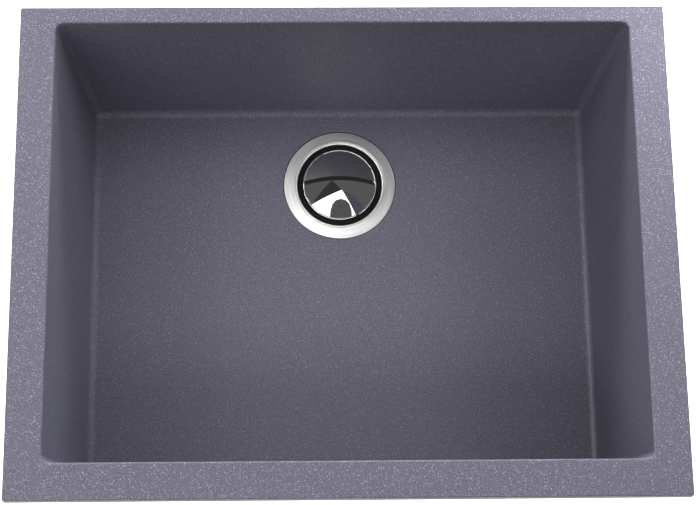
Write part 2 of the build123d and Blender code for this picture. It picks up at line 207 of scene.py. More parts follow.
class Paint(NodeTree):
    """One material and its node tree."""

    def __init__(self, name: str) -> None:
        """Start an empty material.

        Args:
            name: the material's name.
        """
        self.material = bpy.data.materials.new(name)
        self.material.use_nodes = True
        super().__init__(self.material.node_tree)

    def place(self, centre: Sequence[float] = (0.0, 0.0, 0.0)) -> bpy.types.NodeSocket:
        """Object coordinates in millimetres.

        Args:
            centre: the point that becomes zero, in metres.

        Returns:
            The vector socket.
        """
        spot = self.node("ShaderNodeTexCoord").outputs["Object"]
        mapping = self.node("ShaderNodeMapping", {"vector_type": "POINT"},
                            {"Vector": spot, "Location": [-c / MM for c in centre], "Scale": [1 / MM] * 3})
        return mapping.outputs["Vector"]

    def noise(self, place: bpy.types.NodeSocket, scale: float, detail: float, roughness: float) -> Signal:
        """Cloudy noise, about 0 to 1.

        Args:
            place: the coordinates it reads.
            scale: cycles per unit of the coordinates.
            detail: octaves.
            roughness: how much the finer octaves weigh.

        Returns:
            The noise.
        """
        node = self.node("ShaderNodeTexNoise", {"noise_dimensions": "3D"},
                         {"Vector": place, "Scale": scale, "Detail": detail, "Roughness": roughness})
        return Signal(self, node.outputs["Fac"])

    def cells(self, place: bpy.types.NodeSocket, scale: float) -> tuple[Signal, Signal, Signal]:
        """Scattered cells.

        Args:
            place: the coordinates it reads.
            scale: cells per unit of the coordinates.

        Returns:
            The distance to the cell's middle, and two random numbers for the cell.
        """
        node = self.node("ShaderNodeTexVoronoi", {"feature": "F1", "voronoi_dimensions": "3D"},
                         {"Vector": place, "Scale": scale, "Randomness": 1.0})
        parts = self.node("ShaderNodeSeparateColor", {"mode": "RGB"}, {"Color": node.outputs["Color"]})
        return (Signal(self, node.outputs["Distance"]), Signal(self, parts.outputs[0]),
                Signal(self, parts.outputs[1]))

    def join(self, x: Value, y: Value, z: Value) -> bpy.types.NodeSocket:
        """A vector made of three numbers."""
        return self.node("ShaderNodeCombineXYZ", {}, {0: x, 1: y, 2: z}).outputs[0]

    def blend(self, factor: Value, first: Any, second: Any) -> bpy.types.NodeSocket:
        """A colour between two others.

        Args:
            factor: 0 for the first, 1 for the second.
            first: a colour or a colour socket.
            second: the same.

        Returns:
            The colour socket.
        """
        ends = [end if isinstance(end, bpy.types.NodeSocket) else (*end, 1.0) for end in (first, second)]
        node = self.node("ShaderNodeMix", {"data_type": "RGBA"}, {0: factor, 6: ends[0], 7: ends[1]})
        return node.outputs[2]

    def bump(self, height: Signal, depth: float, strength: float) -> bpy.types.NodeSocket:
        """A normal that follows a height.

        Args:
            height: 0 to 1.
            depth: the height of 1, in metres.
            strength: how much of it shows.

        Returns:
            The normal socket.
        """
        node = self.node("ShaderNodeBump", {}, {"Strength": strength, "Distance": depth, "Height": height})
        return node.outputs["Normal"]

    def finish(self, values: Mapping[str, Any]) -> bpy.types.Material:
        """Close the tree with one Principled surface.

        Args:
            values: the surface's inputs by name.

        Returns:
            The material.
        """
        solid = {name: (*value, 1.0) if isinstance(value, tuple) and len(value) == 3 else value
                 for name, value in values.items()}
        surface = self.node("ShaderNodeBsdfPrincipled", {}, solid)
        self.node("ShaderNodeOutputMaterial", {}, {"Surface": surface.outputs["BSDF"]})
        return self.material


# ---- finishes ----------------------------------------------------------------------------------
class Lay(Enum):
    """Which way a metal's fine scratches run."""

    ROUND_DRAIN = "in circles round the drain"
    ALONG_AXIS = "up and down"
    CROSSED = "every way"


def scaled(colour: Colour, factor: float) -> Colour:
    """A colour made lighter or darker, with no channel above 1."""
    return tuple(min(1.0, channel * factor) for channel in colour)


class Finish(ABC):
    """The look of one kind of surface."""

    slot: str

    @abstractmethod
    def material(self) -> bpy.types.Material:
        """Make the material."""


@dataclass(frozen=True)
class Composite(Finish):
    """Cast quartz composite: a purple-grey body full of pale and dark grains.

    On the rim's top face, above a set level, the pale flakes are painted brighter as painted glints of the
    light on that lit face, and the dark specks are made stronger.
    """

    slot: str = "composite"
    name: str = "composite"
    body: Colour = (0.118, 0.115, 0.150)
    body_shade: float = 0.56
    body_light: float = 1.62
    mottle_stops: tuple[tuple[float, float], ...] = ((0.30, 0.0), (0.50, 0.42), (0.72, 1.0))
    pale: Colour = (0.46, 0.455, 0.54)
    dark: Colour = (0.030, 0.029, 0.038)
    grain_per_mm: float = 1.15
    flake_share: float = 0.15
    flake_reach: float = 0.40
    flake_cover: tuple[float, float] = (0.2, 0.8)
    flake_gloss: float = 0.14
    speck_share: float = 0.12
    speck_reach: float = 0.36
    cast_strength: tuple[float, float] = (0.85, 0.75)
    # extra strength of the pale flakes and dark specks on the rim's top face: painted glint of the lit top
    lit_top_gain: tuple[float, float] = (0.7, 0.2)
    lit_top_level: float = -0.4
    cloud_per_mm: float = 0.006
    skin_per_mm: float = 0.8
    roughness: float = 0.46
    mottle_roughness: float = 0.20
    cloud_roughness: float = 0.06
    gloss: float = 0.1
    bump_depth: float = 0.00005

    def material(self) -> bpy.types.Material:
        """Layer the grains over the body colour, with a fine pitted surface.

        Returns:
            The composite material.
        """
        paint = Paint(self.name)
        place = paint.place()
        mottle = paint.noise(place, self.grain_per_mm, 3.0, 0.62)
        tone = paint.ramp(mottle, self.mottle_stops)
        colour = paint.blend(tone, scaled(self.body, self.body_shade), scaled(self.body, self.body_light))
        # painted glint: above the top face's level the pale flakes are made brighter and the dark specks
        # stronger, as on a lit face
        lit_top_mask = paint.axes(place)[2].above(self.lit_top_level)
        flake_strength, speck_strength = (cast + gain * lit_top_mask for cast, gain
                                          in zip(self.cast_strength, self.lit_top_gain))
        near, lot, kind = paint.cells(place, self.grain_per_mm)
        flake = near.below(self.flake_reach) * lot.above(1.0 - self.flake_share)
        speck = near.below(self.speck_reach) * lot.below(self.speck_share)
        thinnest, thickest = self.flake_cover
        cover = thinnest + (thickest - thinnest) * kind
        colour = paint.blend(flake * cover * flake_strength, colour, self.pale)
        colour = paint.blend(speck * speck_strength, colour, self.dark)
        cloud = paint.noise(place, self.cloud_per_mm, 2.0, 0.5)
        rough = (self.roughness + (mottle - 0.5) * self.mottle_roughness
                 + (cloud - 0.5) * self.cloud_roughness - flake * self.flake_gloss)
        skin = paint.noise(place, self.skin_per_mm, 3.0, 0.7)
        return paint.finish({"Base Color": colour, "Roughness": rough, "IOR": 1.5,
                             "Specular IOR Level": self.gloss,
                             "Normal": paint.bump(skin, self.bump_depth, 0.8)})


@dataclass(frozen=True)
class Metal(Finish):
    """Steel, brass or cast alloy with fine scratches."""

    slot: str
    name: str
    colour: Colour = (0.62, 0.61, 0.60)
    roughness: float = 0.30
    lay: Lay = Lay.CROSSED
    scratch_depth: float = 0.000006
    scratch_tone: float = 0.25
    scratch_roughness: float = 0.20
    smear_roughness: float = 0.10
    smear_per_mm: float = 0.05

    def material(self) -> bpy.types.Material:
        """Scratch the metal along its lay.

        Returns:
            The metal's material.
        """
        paint = Paint(self.name)
        scratches = self._scratches(paint, paint.place(DRAIN_AXIS))
        smear = paint.noise(paint.place(), self.smear_per_mm, 3.0, 0.6)
        rough = (self.roughness + (scratches - 0.5) * self.scratch_roughness
                 + (smear - 0.5) * self.smear_roughness)
        shade = scaled(self.colour, 1.0 - self.scratch_tone)
        colour = paint.blend(paint.ramp(scratches, ((0.3, 0.0), (0.7, 1.0))), shade, self.colour)
        return paint.finish({"Base Color": colour, "Metallic": 1.0, "Roughness": rough,
                             "Normal": paint.bump(scratches, self.scratch_depth, 0.7)})

    def _scratches(self, paint: Paint, place: bpy.types.NodeSocket) -> Signal:
        """The scratches' height.

        Args:
            paint: the tree to add to.
            place: coordinates in millimetres from the drain's axis.

        Returns:
            About 0 to 1.
        """
        x, y, z = paint.axes(place)
        if self.lay is Lay.ROUND_DRAIN:
            radius = (x * x + y * y).root()
            return paint.noise(paint.join(radius * 1.4, y.turn_to(x) * 1.2, z * 1.0), 1.0, 3.0, 0.6)
        if self.lay is Lay.ALONG_AXIS:
            return paint.noise(paint.join(x * 6.0, y * 6.0, z * 0.08), 1.0, 2.0, 0.6)
        return paint.noise(place, 2.5, 4.0, 0.65)


@dataclass(frozen=True)
class MirrorSteel(Finish):
    """Polished steel, with the faint haze of wiping."""

    slot: str = "polished_steel"
    name: str = "mirror_steel"
    colour: Colour = (0.48, 0.475, 0.47)
    roughness: float = 0.012
    haze_per_mm: float = 0.12
    haze_roughness: float = 0.02
    haze_cover: float = 0.3
    haze_shade: float = 0.93

    def material(self) -> bpy.types.Material:
        """Mirror with a little haze.

        Returns:
            The polished material.
        """
        paint = Paint(self.name)
        haze = paint.noise(paint.place(), self.haze_per_mm, 3.0, 0.6)
        colour = paint.blend(haze * self.haze_cover, self.colour, scaled(self.colour, self.haze_shade))
        return paint.finish({"Base Color": colour, "Metallic": 1.0,
                             "Roughness": self.roughness + haze * self.haze_roughness})


@dataclass(frozen=True)
class Moulded(Finish):
    """Rubber, plastic or pressed fibre, with a fine grain."""

    slot: str
    name: str
    colour: Colour
    roughness: float = 0.5
    mottle: float = 0.15
    grain_per_mm: float = 1.5
    grain_depth: float = 0.00001
    grain_roughness: float = 0.12
    gloss: float = 0.5

    def material(self) -> bpy.types.Material:
        """Grain the moulding.

        Returns:
            The moulded material.
        """
        paint = Paint(self.name)
        grain = paint.noise(paint.place(), self.grain_per_mm, 3.0, 0.6)
        colour = paint.blend(grain, scaled(self.colour, 1.0 - self.mottle),
                             scaled(self.colour, 1.0 + self.mottle))
        rough = self.roughness + (grain - 0.5) * self.grain_roughness
        return paint.finish({"Base Color": colour, "Roughness": rough, "IOR": 1.5,
                             "Specular IOR Level": self.gloss,
                             "Normal": paint.bump(grain, self.grain_depth, 0.6)})


DRAIN_AXIS = (0.0, 0.12, 0.0)
AXIS = Vector(DRAIN_AXIS).freeze()
CAP_MIDDLE = (0.0, 0.12, -0.195)
BORE_GAP = 0.05 * MM
COMPOSITE = Composite()
FLANGE = Metal("flange_steel", "flange_steel", (0.80, 0.79, 0.78), roughness=0.41, lay=Lay.ROUND_DRAIN,
               scratch_tone=0.32)
TUBE = Metal("flange_steel", "tube_steel", roughness=0.16, scratch_depth=0.000002)
SHEET = Metal("basket_steel", "basket_steel", roughness=0.24)
ZINC = Metal("zinc_steel", "zinc_plate", (0.60, 0.61, 0.60), roughness=0.36)
BRASS = Metal("insert_brass", "insert_brass", (0.78, 0.56, 0.25), roughness=0.30, lay=Lay.ALONG_AXIS)
ALLOY = Metal("nut_metal", "nut_alloy", (0.55, 0.55, 0.54), roughness=0.48, scratch_depth=0.00002)
RUBBER = Moulded("black_rubber", "rubber", (0.004, 0.004, 0.004), roughness=0.26, gloss=0.16)
FIBRE = Moulded("fibre", "fibre", (0.42, 0.29, 0.17), roughness=0.85, mottle=0.3, grain_per_mm=0.9)
PLASTIC = Moulded("white_plastic", "white_plastic", (0.80, 0.80, 0.78), roughness=0.42, mottle=0.04)
MIRROR = MirrorSteel()


class FinishShelf:
    """Each finish's material, made once."""

    def __init__(self) -> None:
        """Start empty."""
        self.made: dict[Finish, bpy.types.Material] = {}

    def material(self, finish: Finish) -> bpy.types.Material:
        """The material of a finish.

        Args:
            finish: the finish.

        Returns:
            Its one material.
        """
        if finish not in self.made:
            self.made[finish] = finish.material()
        return self.made[finish]

    def dress(self, finish: Finish, *nodes: str) -> None:
        """Give frame nodes a finish.

        Args:
            finish: their surface.
            nodes: the nodes' names.
        """
        for node in nodes:
            for place in frame["nodes"][node].material_slots:
                place.material = self.material(finish)
            LOG.info("%s: %s", node, finish.slot)


FINISHES = FinishShelf()


# ---- mesh making -------------------------------------------------------------------------------
WELD = 1e-7                          # vertices of a turned shape nearer than this are one
NODE_WELD = 1e-6                     # the same for a frame node's loose triangles
LEVEL = 1e-6                         # heights nearer than this are the same
ON_RING = 1e-5                       # how far from a circle a vertex may lie and still be on it
SHARP = 0.5                          # faces that turn by more than this, in radians, meet in an edge
NODE_FLAT = math.radians(0.5)        # a node's triangles that turn by less are one face
NODE_SHARP = math.radians(32)        # and those that turn by more meet in an edge to ease
SMOOTH_UNDER = math.radians(35)      # edges that turn by less are shaded smooth
HEXAGON_FACE = 0.975                 # a nut's round face, as a share of its size across the flats
HEXAGON_TILT = math.radians(30)      # how steeply its corners are turned off
HEXAGON_LEAD = 0.05                  # the bevel at its bore, as a share of the bore
THREAD_FORM = (0.0, 0.36, 0.50, 0.86)  # where a ridge's flanks begin and end, as shares of the pitch
LEANING = 0.93                       # a bevel's offset for a radius of 1, where the walls lean


@dataclass(frozen=True)
class Corner:
    """One corner of a turned profile, in metres, with the radius that rounds it."""

    radius: float
    height: float
    rounding: float = 0.0


def arc(middle: float, level: float, radius: float, sweep: tuple[float, float], steps: int) -> list[Corner]:
    """Corners along an arc of a profile.

    Args:
        middle: distance of the arc's centre from the axis.
        level: height of its centre.
        radius: its radius.
        sweep: its first and last angles in degrees, from straight outwards and rising.
        steps: stretches along it.

    Returns:
        The corners, one more than the stretches.
    """
    first, last = sweep
    angles = (math.radians(first + (last - first) * step / steps) for step in range(steps + 1))
    return [Corner(middle + radius * math.cos(angle), level + radius * math.sin(angle)) for angle in angles]


def band(bore: float, outer: float, low: float, high: float, *roundings: float) -> list[Corner]:
    """The section of a plain ring.

    Args:
        bore: its inner radius.
        outer: its outer radius.
        low: its lower level.
        high: its upper level.
        roundings: the radii on its corners in millimetres, from the bore's lower one round.

    Returns:
        The four corners.
    """
    spots = ((bore, low), (outer, low), (outer, high), (bore, high))
    return [Corner(*spot, rounding * MM) for spot, rounding in zip(spots, roundings)]


Shaper = Callable[[Vector], Vector]


def circle_shape(centre: Vector, radius: float, height: float) -> Shaper:
    """A transform that puts a vertex on a circle, at its own angle.

    Args:
        centre: a point on the circle's axis.
        radius: the circle's radius.
        height: its level.

    Returns:
        The transform.
    """
    def shape(spot: Vector) -> Vector:
        """Place one vertex."""
        arm = Vector((spot.x - centre.x, spot.y - centre.y, 0.0)).normalized() * radius
        return Vector((centre.x + arm.x, centre.y + arm.y, height))
    return shape


def hexagon_shape(centre: Vector, flats: float, height: float, fall: float) -> Shaper:
    """A transform that puts a vertex on a hexagon with a corner towards +X.

    Args:
        centre: a point on the hexagon's axis.
        flats: its size across the flats.
        height: its level at the middle of a flat.
        fall: how far its corners drop from there, per unit of radius.

    Returns:
        The transform.
    """
    def shape(spot: Vector) -> Vector:
        """Place one vertex.

        Args:
            spot: where it was.

        Returns:
            Where it goes.
        """
        angle = math.atan2(spot.y - centre.y, spot.x - centre.x)
        from_flat = (angle % (math.pi / 3)) - math.pi / 6
        radius = flats / 2 / math.cos(from_flat)
        level = height - fall * (radius - flats / 2)
        return Vector((centre.x + radius * math.cos(angle), centre.y + radius * math.sin(angle), level))
    return shape


def rectangle_shape(length: float, width: float, middle: float, height: float) -> Shaper:
    """A transform that puts a corner of one rectangle on another's.

    Args:
        length: the new size along X.
        width: the new size along Y.
        middle: the Y of its centre; the old front corners lie on the near side of it.
        height: its level.

    Returns:
        The transform.
    """
    def shape(spot: Vector) -> Vector:
        """Place one corner."""
        return Vector((math.copysign(length / 2, spot.x),
                       middle + math.copysign(width / 2, spot.y - middle), height))
    return shape


class Workpiece:
    """A bmesh on the bench, and how it becomes a piece of the sink."""

    def __init__(self) -> None:
        """Start with nothing."""
        self.bm = bmesh.new()

    def turn(self, corners: Sequence[Corner], centre: Vector, steps: int, closed: bool = True) -> None:
        """Turn a profile about a vertical axis.

        Args:
            corners: the profile, in order round it.
            centre: a point on the axis; heights are the frame's own.
            steps: facets round the axis.
            closed: whether the last corner joins the first.
        """
        lathe = bmesh.new()
        spots = [lathe.verts.new((c.radius, 0.0, c.height)) for c in corners]
        for first, second in list(zip(spots, spots[1:])) + ([(spots[-1], spots[0])] if closed else []):
            lathe.edges.new((first, second))
        for corner, spot in zip(corners, spots):
            if corner.rounding > 0.0:
                bmesh.ops.bevel(lathe, geom=[spot], offset=corner.rounding, offset_type="OFFSET",
                                segments=4, profile=0.5, affect="VERTICES", material=-1)
        bmesh.ops.spin(lathe, geom=lathe.verts[:] + lathe.edges[:], cent=(0, 0, 0), axis=(0, 0, 1),
                       dvec=(0, 0, 0), angle=2 * math.pi, steps=steps, use_merge=True)
        bmesh.ops.remove_doubles(lathe, verts=lathe.verts[:], dist=WELD)
        bmesh.ops.translate(lathe, verts=lathe.verts[:], vec=(centre.x, centre.y, 0.0))
        self.absorb(lathe)

    def thread(self, centre: Vector, root: float, crest: float, low: float, high: float, pitch: float,
               steps: int) -> None:
        """Wind a screw thread's ridge round a rod.

        Args:
            centre: a point on the axis.
            root: radius inside the rod's surface, where the ridge is buried.
            crest: radius of the ridge's top.
            low: level of the lowest turn.
            high: level where the thread ends.
            pitch: rise in one turn.
            steps: facets in one turn.
        """
        lathe = bmesh.new()
        spots = [lathe.verts.new((radius, 0.0, low + share * pitch))
                 for radius, share in zip((root, crest, crest, root), THREAD_FORM)]
        for first, second in zip(spots, spots[1:] + spots[:1]):
            lathe.edges.new((first, second))
        count = int((high - low - pitch) / pitch * steps)
        bmesh.ops.spin(lathe, geom=lathe.verts[:] + lathe.edges[:], cent=(0, 0, 0), axis=(0, 0, 1),
                       dvec=(0, 0, pitch / steps), angle=2 * math.pi * count / steps, steps=count,
                       use_merge=False)
        bmesh.ops.holes_fill(lathe, edges=[e for e in lathe.edges if e.is_boundary], sides=4)
        bmesh.ops.translate(lathe, verts=lathe.verts[:], vec=(centre.x, centre.y, 0.0))
        self.absorb(lathe)

    def hexagon(self, centre: Vector, flats: float, low: float, high: float, bore: float = 0.0,
                steps: int = 48) -> None:
        """Forge a hexagon with turned corners, for a nut or a screw's head.

        Args:
            centre: a point on its axis.
            flats: size across the flats.
            low: its lower level.
            high: its upper level.
            bore: radius of the hole through it, or 0 for none.
            steps: facets round it, a multiple of 12.
        """
        forge = bmesh.new()
        face = flats / 2 * HEXAGON_FACE
        drop = (1.0 - HEXAGON_FACE) * face
        tilt = math.tan(HEXAGON_TILT)
        rings = [circle_shape(centre, face, high), hexagon_shape(centre, flats, high - drop, tilt),
                 hexagon_shape(centre, flats, low + drop, -tilt), circle_shape(centre, face, low)]
        if bore:
            ease = HEXAGON_LEAD * bore
            rings = [circle_shape(centre, bore, high - ease), circle_shape(centre, bore + ease, high)] + rings
            rings += [circle_shape(centre, bore + ease, low), circle_shape(centre, bore, low + ease)]
        disc = bmesh.ops.create_circle(forge, cap_ends=False, segments=steps, radius=1.0,
                                       matrix=Matrix.Translation(centre))
        for vert in disc["verts"]:
            vert.co = rings[0](vert.co)
        first = last = forge.edges[:]
        for shape in rings[1:]:
            last = extrude_ring(forge, last, shape)
        if bore:
            bmesh.ops.bridge_loops(forge, edges=first + last)
        else:
            bmesh.ops.holes_fill(forge, edges=[e for e in forge.edges if e.is_boundary], sides=0)
        self.absorb(forge)

    def block(self, low: Vector, high: Vector, easing: float, turn: float, pivot: Vector) -> None:
        """Cut a block with eased edges.

        Args:
            low: its lowest corner.
            high: its highest corner.
            easing: width of the bevel on its edges.
            turn: how far it is turned about the vertical through the pivot, in radians.
            pivot: a point on that vertical.
        """
        cut = bmesh.new()
        bmesh.ops.create_cube(cut, size=1.0)
        bmesh.ops.scale(cut, verts=cut.verts[:], vec=high - low)
        bmesh.ops.translate(cut, verts=cut.verts[:], vec=(low + high) / 2)
        bevel_edges(cut, cut.edges, easing, 2, clamp=True)
        bmesh.ops.rotate(cut, verts=cut.verts[:], cent=pivot, matrix=Matrix.Rotation(turn, 3, "Z"))
        self.absorb(cut)

    def copy_node(self, node: str, easing: float) -> None:
        """Take in a merged copy of a frame node's mesh, with its sharp edges eased.

        Args:
            node: the node's name.
            easing: width of the bevel on its sharp edges, in metres.
        """
        copy = bmesh.new()
        copy.from_mesh(frame["nodes"][node].data)
        bmesh.ops.remove_doubles(copy, verts=copy.verts[:], dist=NODE_WELD)
        bmesh.ops.dissolve_limit(copy, angle_limit=NODE_FLAT, verts=copy.verts[:], edges=copy.edges[:])
        sharp = [e for e in copy.edges if e.is_manifold and e.calc_face_angle() > NODE_SHARP]
        bevel_edges(copy, sharp, easing, 2, clamp=True)
        self.absorb(copy)

    def absorb(self, other: bmesh.types.BMesh) -> None:
        """Take in another bmesh, with its faces turned outwards, and free it.

        Args:
            other: the bmesh.
        """
        bmesh.ops.remove_doubles(other, verts=other.verts[:], dist=WELD)
        bmesh.ops.recalc_face_normals(other, faces=other.faces[:])
        carrier = bpy.data.meshes.new("carrier")
        other.to_mesh(carrier)
        other.free()
        self.bm.from_mesh(carrier)
        bpy.data.meshes.remove(carrier)

    def piece(self, name: str, finish: Finish, body: str, replaces: Sequence[str]) -> None:
        """Make the object, dress it and hang it on its body.

        Args:
            name: the piece's name.
            finish: its surface.
            body: the body that it moves with.
            replaces: the nodes that it stands for.
        """
        mesh = bpy.data.meshes.new(name)
        self.bm.to_mesh(mesh)
        self.bm.free()
        mesh.shade_smooth()
        mesh.set_sharp_from_angle(angle=SMOOTH_UNDER)
        mesh.materials.append(FINISHES.material(finish))
        obj = bpy.data.objects.new(name, mesh)
        bpy.context.scene.collection.objects.link(obj)
        even = obj.modifiers.new("even_normals", "WEIGHTED_NORMAL")
        even.keep_sharp = True
        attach(obj, body)
        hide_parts(*replaces)
        LOG.info("%s: %d faces, on %s", name, len(mesh.polygons), body)


def extrude_ring(bm: bmesh.types.BMesh, edges: Sequence[bmesh.types.BMEdge],
                 shape: Shaper) -> list[bmesh.types.BMEdge]:
    """Extrude a loop of edges and put the new loop in its place.

    Args:
        bm: the bmesh.
        edges: the loop.
        shape: where each new vertex goes.

    Returns:
        The new loop.
    """
    made = bmesh.ops.extrude_edge_only(bm, edges=edges)["geom"]
    fresh = {g for g in made if isinstance(g, bmesh.types.BMVert)}
    for vert in fresh:
        vert.co = shape(vert.co)
    return [e for e in bm.edges if e.verts[0] in fresh and e.verts[1] in fresh]


def bevel_edges(bm: bmesh.types.BMesh, edges: Iterable[bmesh.types.BMEdge], width: float, segments: int,
                clamp: bool = False) -> None:
    """Round edges.

    Args:
        bm: the bmesh.
        edges: the edges.
        width: how far the rounding reaches from each.
        segments: facets across it.
        clamp: whether it narrows where two roundings would meet.
    """
    bmesh.ops.bevel(bm, geom=list(edges), offset=width, offset_type="OFFSET", segments=segments,
                    profile=0.5, affect="EDGES", clamp_overlap=clamp, material=-1)


def ring_at(bm: bmesh.types.BMesh, centre: Vector, radius: float, height: float) -> list[bmesh.types.BMEdge]:
    """The edges of one circle about a vertical axis.

    Args:
        bm: the bmesh.
        centre: a point on the axis.
        radius: the circle's radius.
        height: its level.

    Returns:
        Its edges.
    """
    def on(vert: bmesh.types.BMVert) -> bool:
        """Whether a vertex lies on the circle."""
        reach = math.hypot(vert.co.x - centre.x, vert.co.y - centre.y)
        return abs(reach - radius) < ON_RING and abs(vert.co.z - height) < ON_RING
    return [e for e in bm.edges if on(e.verts[0]) and on(e.verts[1])]


# ---- the bowl ----------------------------------------------------------------------------------
@dataclass
class Bowl:
    """The casting: flat rim, leaning walls, and a floor with the drain's recess."""

    rim_length: float = 610.0 * MM
    rim_width: float = 467.0 * MM
    rim_side: float = 33.3 * MM
    rim_back: float = 16.0 * MM
    rim_front: float = 33.5 * MM
    rim_thickness: float = 12.0 * MM
    rim_corner: float = 1.5 * MM
    rim_edge: float = 1.0 * MM
    rim_lower_edge: float = 0.8 * MM
    depth: float = 200.0 * MM
    side_draft: float = 20.0 * MM
    end_draft: float = 17.3 * MM
    wall: float = 9.0 * MM
    floor: float = 11.0 * MM
    inner_radius: float = 8.0 * MM
    mouth_edge: float = 2.0 * MM
    root_fillet: float = 2.5 * MM
    hole_radius: float = 45.0 * MM
    recess_radius: float = 57.95 * MM
    recess_depth: float = 2.5 * MM
    recess_easing: float = 0.5 * MM
    boss_radius: float = 66.0 * MM
    boss_height: float = 3.0 * MM
    boss_easing: float = 1.0 * MM
    pad_radius: float = 8.0 * MM
    pad_height: float = 3.0 * MM
    pad_foot: float = 0.8 * MM
    pad_buried: float = 0.1 * MM
    insert_radius: float = 4.5 * MM

    @property
    def middle(self) -> float:
        """The Y of the mouth's centre."""
        return (self.rim_front - self.rim_back) / 2

    def section(self, height: float, grow: float = 0.0) -> Shaper:
        """The walls' outline at a level.

        Args:
            height: the level.
            grow: how far outside the hollow.

        Returns:
            The transform that puts four corners on it.
        """
        share = height / self.depth
        length = self.rim_length - 2 * self.rim_side + 2 * (self.side_draft * share + grow)
        width = self.rim_width - self.rim_back - self.rim_front + 2 * (self.end_draft * share + grow)
        return rectangle_shape(length, width, self.middle, height)

    def build(self) -> None:
        """Model and dress the casting."""
        work = Workpiece()
        self._casting(work)
        for spot in clip_stations().values():
            self._pad(work, spot)
        work.piece("bowl_casting", COMPOSITE, "sink", ["bowl"])

    def _casting(self, work: Workpiece) -> None:
        """Shape the rim, the hollow, the outside and the drain's hole.

        Args:
            work: the piece to add to.
        """
        bm = bmesh.new()
        bmesh.ops.create_grid(bm, x_segments=1, y_segments=1, size=0.5)
        bmesh.ops.scale(bm, verts=bm.verts[:], vec=(self.rim_length, self.rim_width, 1.0))
        face = bm.faces[:][0]
        bmesh.ops.inset_individual(bm, faces=[face], thickness=0.01)
        mouth = self.section(0.0)
        for vert in face.verts:
            vert.co = mouth(vert.co)
        floor = bmesh.ops.extrude_discrete_faces(bm, faces=[face])["faces"][0]
        low = self.section(-self.depth)
        for vert in floor.verts:
            vert.co = low(vert.co)
        hollow = set(floor.edges) | {e for v in floor.verts for e in v.link_edges}
        bevel_edges(bm, hollow, self.inner_radius * LEANING, 8)
        self._outside(bm, [e for e in bm.edges if e.is_boundary])
        self._round_rim(bm)
        self._drain(bm)
        work.absorb(bm)

    def _outside(self, bm: bmesh.types.BMesh, outline: Sequence[bmesh.types.BMEdge]) -> None:
        """Carry the rim's outline down its edge, under it and down the outside of the walls.

        Args:
            bm: the bmesh.
            outline: the rim's outer edges.
        """
        under = -self.rim_thickness
        bottom = -self.depth - self.floor
        edge = extrude_ring(bm, outline, rectangle_shape(self.rim_length, self.rim_width, 0.0, under))
        root = extrude_ring(bm, edge, self.section(under, self.wall))
        foot = extrude_ring(bm, root, self.section(bottom, self.wall))
        corners = {v for e in foot for v in e.verts}
        bmesh.ops.holes_fill(bm, edges=foot, sides=4)
        leaning = {e for v in corners for e in v.link_edges}
        bevel_edges(bm, leaning, (self.inner_radius + self.wall) * LEANING, 8)
        inner_x, inner_y = (size / 2 - 0.1 * MM for size in (self.rim_length, self.rim_width))
        level = [e for e in bm.edges if e.is_manifold
                 and all(abs(v.co.z - under) < LEVEL and abs(v.co.x) < inner_x and abs(v.co.y) < inner_y
                         for v in e.verts)]
        bevel_edges(bm, [e for e in level if e.calc_face_angle() > SHARP], self.root_fillet, 4)

    def _round_rim(self, bm: bmesh.types.BMesh) -> None:
        """Round the mouth and the rim's outer edges.

        Args:
            bm: the bmesh.
        """
        inset = self.rim_corner + ON_RING

        def steep(height: float | None, outside: bool) -> list[bmesh.types.BMEdge]:
            """The rim's sharp edges of one kind.

            Args:
                height: their level, or None for the upright ones.
                outside: whether they lie on the outline, and not on the mouth.

            Returns:
                The edges.
            """
            chosen = []
            for edge in bm.edges:
                if not edge.is_manifold or edge.calc_face_angle() < SHARP:
                    continue
                spots = [v.co for v in edge.verts]
                if height is None:
                    wanted = abs(spots[0].z - spots[1].z) > self.rim_thickness / 2
                else:
                    wanted = all(abs(s.z - height) < LEVEL for s in spots)
                rim = all(abs(s.x) > self.rim_length / 2 - inset or abs(s.y) > self.rim_width / 2 - inset
                          for s in spots)
                if wanted and rim == outside:
                    chosen.append(edge)
            return chosen

        bevel_edges(bm, steep(0.0, False), self.mouth_edge, 5)
        bevel_edges(bm, steep(None, True), self.rim_corner, 4)
        bevel_edges(bm, steep(0.0, True), self.rim_edge, 3)
        bevel_edges(bm, steep(-self.rim_thickness, True), self.rim_lower_edge, 3)

    def _drain(self, bm: bmesh.types.BMesh) -> None:
        """Cut the recess and the hole, and raise the boss under the floor.

        Args:
            bm: the bmesh.
        """
        centre = AXIS
        top, bottom = -self.depth, -self.depth - self.floor
        recess, boss = top - self.recess_depth, bottom - self.boss_height
        rims = []
        for height in (top, bottom):
            flat = max((f for f in bm.faces if all(abs(v.co.z - height) < LEVEL for v in f.verts)),
                       key=lambda f: f.calc_area())
            rims.append(list(flat.edges))
            bmesh.ops.delete(bm, geom=[flat], context="FACES_ONLY")
        matrix = Matrix.Translation((centre.x, centre.y, top))
        made = bmesh.ops.create_circle(bm, cap_ends=False, segments=96, radius=self.recess_radius,
                                       matrix=matrix)
        fresh = set(made["verts"])
        first = [e for e in bm.edges if e.verts[0] in fresh and e.verts[1] in fresh]
        last = first
        for radius, height in ((self.recess_radius, recess), (self.hole_radius, recess),
                               (self.hole_radius, boss), (self.boss_radius, boss),
                               (self.boss_radius, bottom)):
            last = extrude_ring(bm, last, circle_shape(centre, radius, height))
        bmesh.ops.triangle_fill(bm, use_beauty=True, use_dissolve=False, edges=rims[0] + first)
        bmesh.ops.triangle_fill(bm, use_beauty=True, use_dissolve=False, edges=rims[1] + last)
        bevel_edges(bm, ring_at(bm, centre, self.recess_radius, top), self.recess_easing, 3)
        bevel_edges(bm, ring_at(bm, centre, self.boss_radius, boss), self.boss_easing, 3)

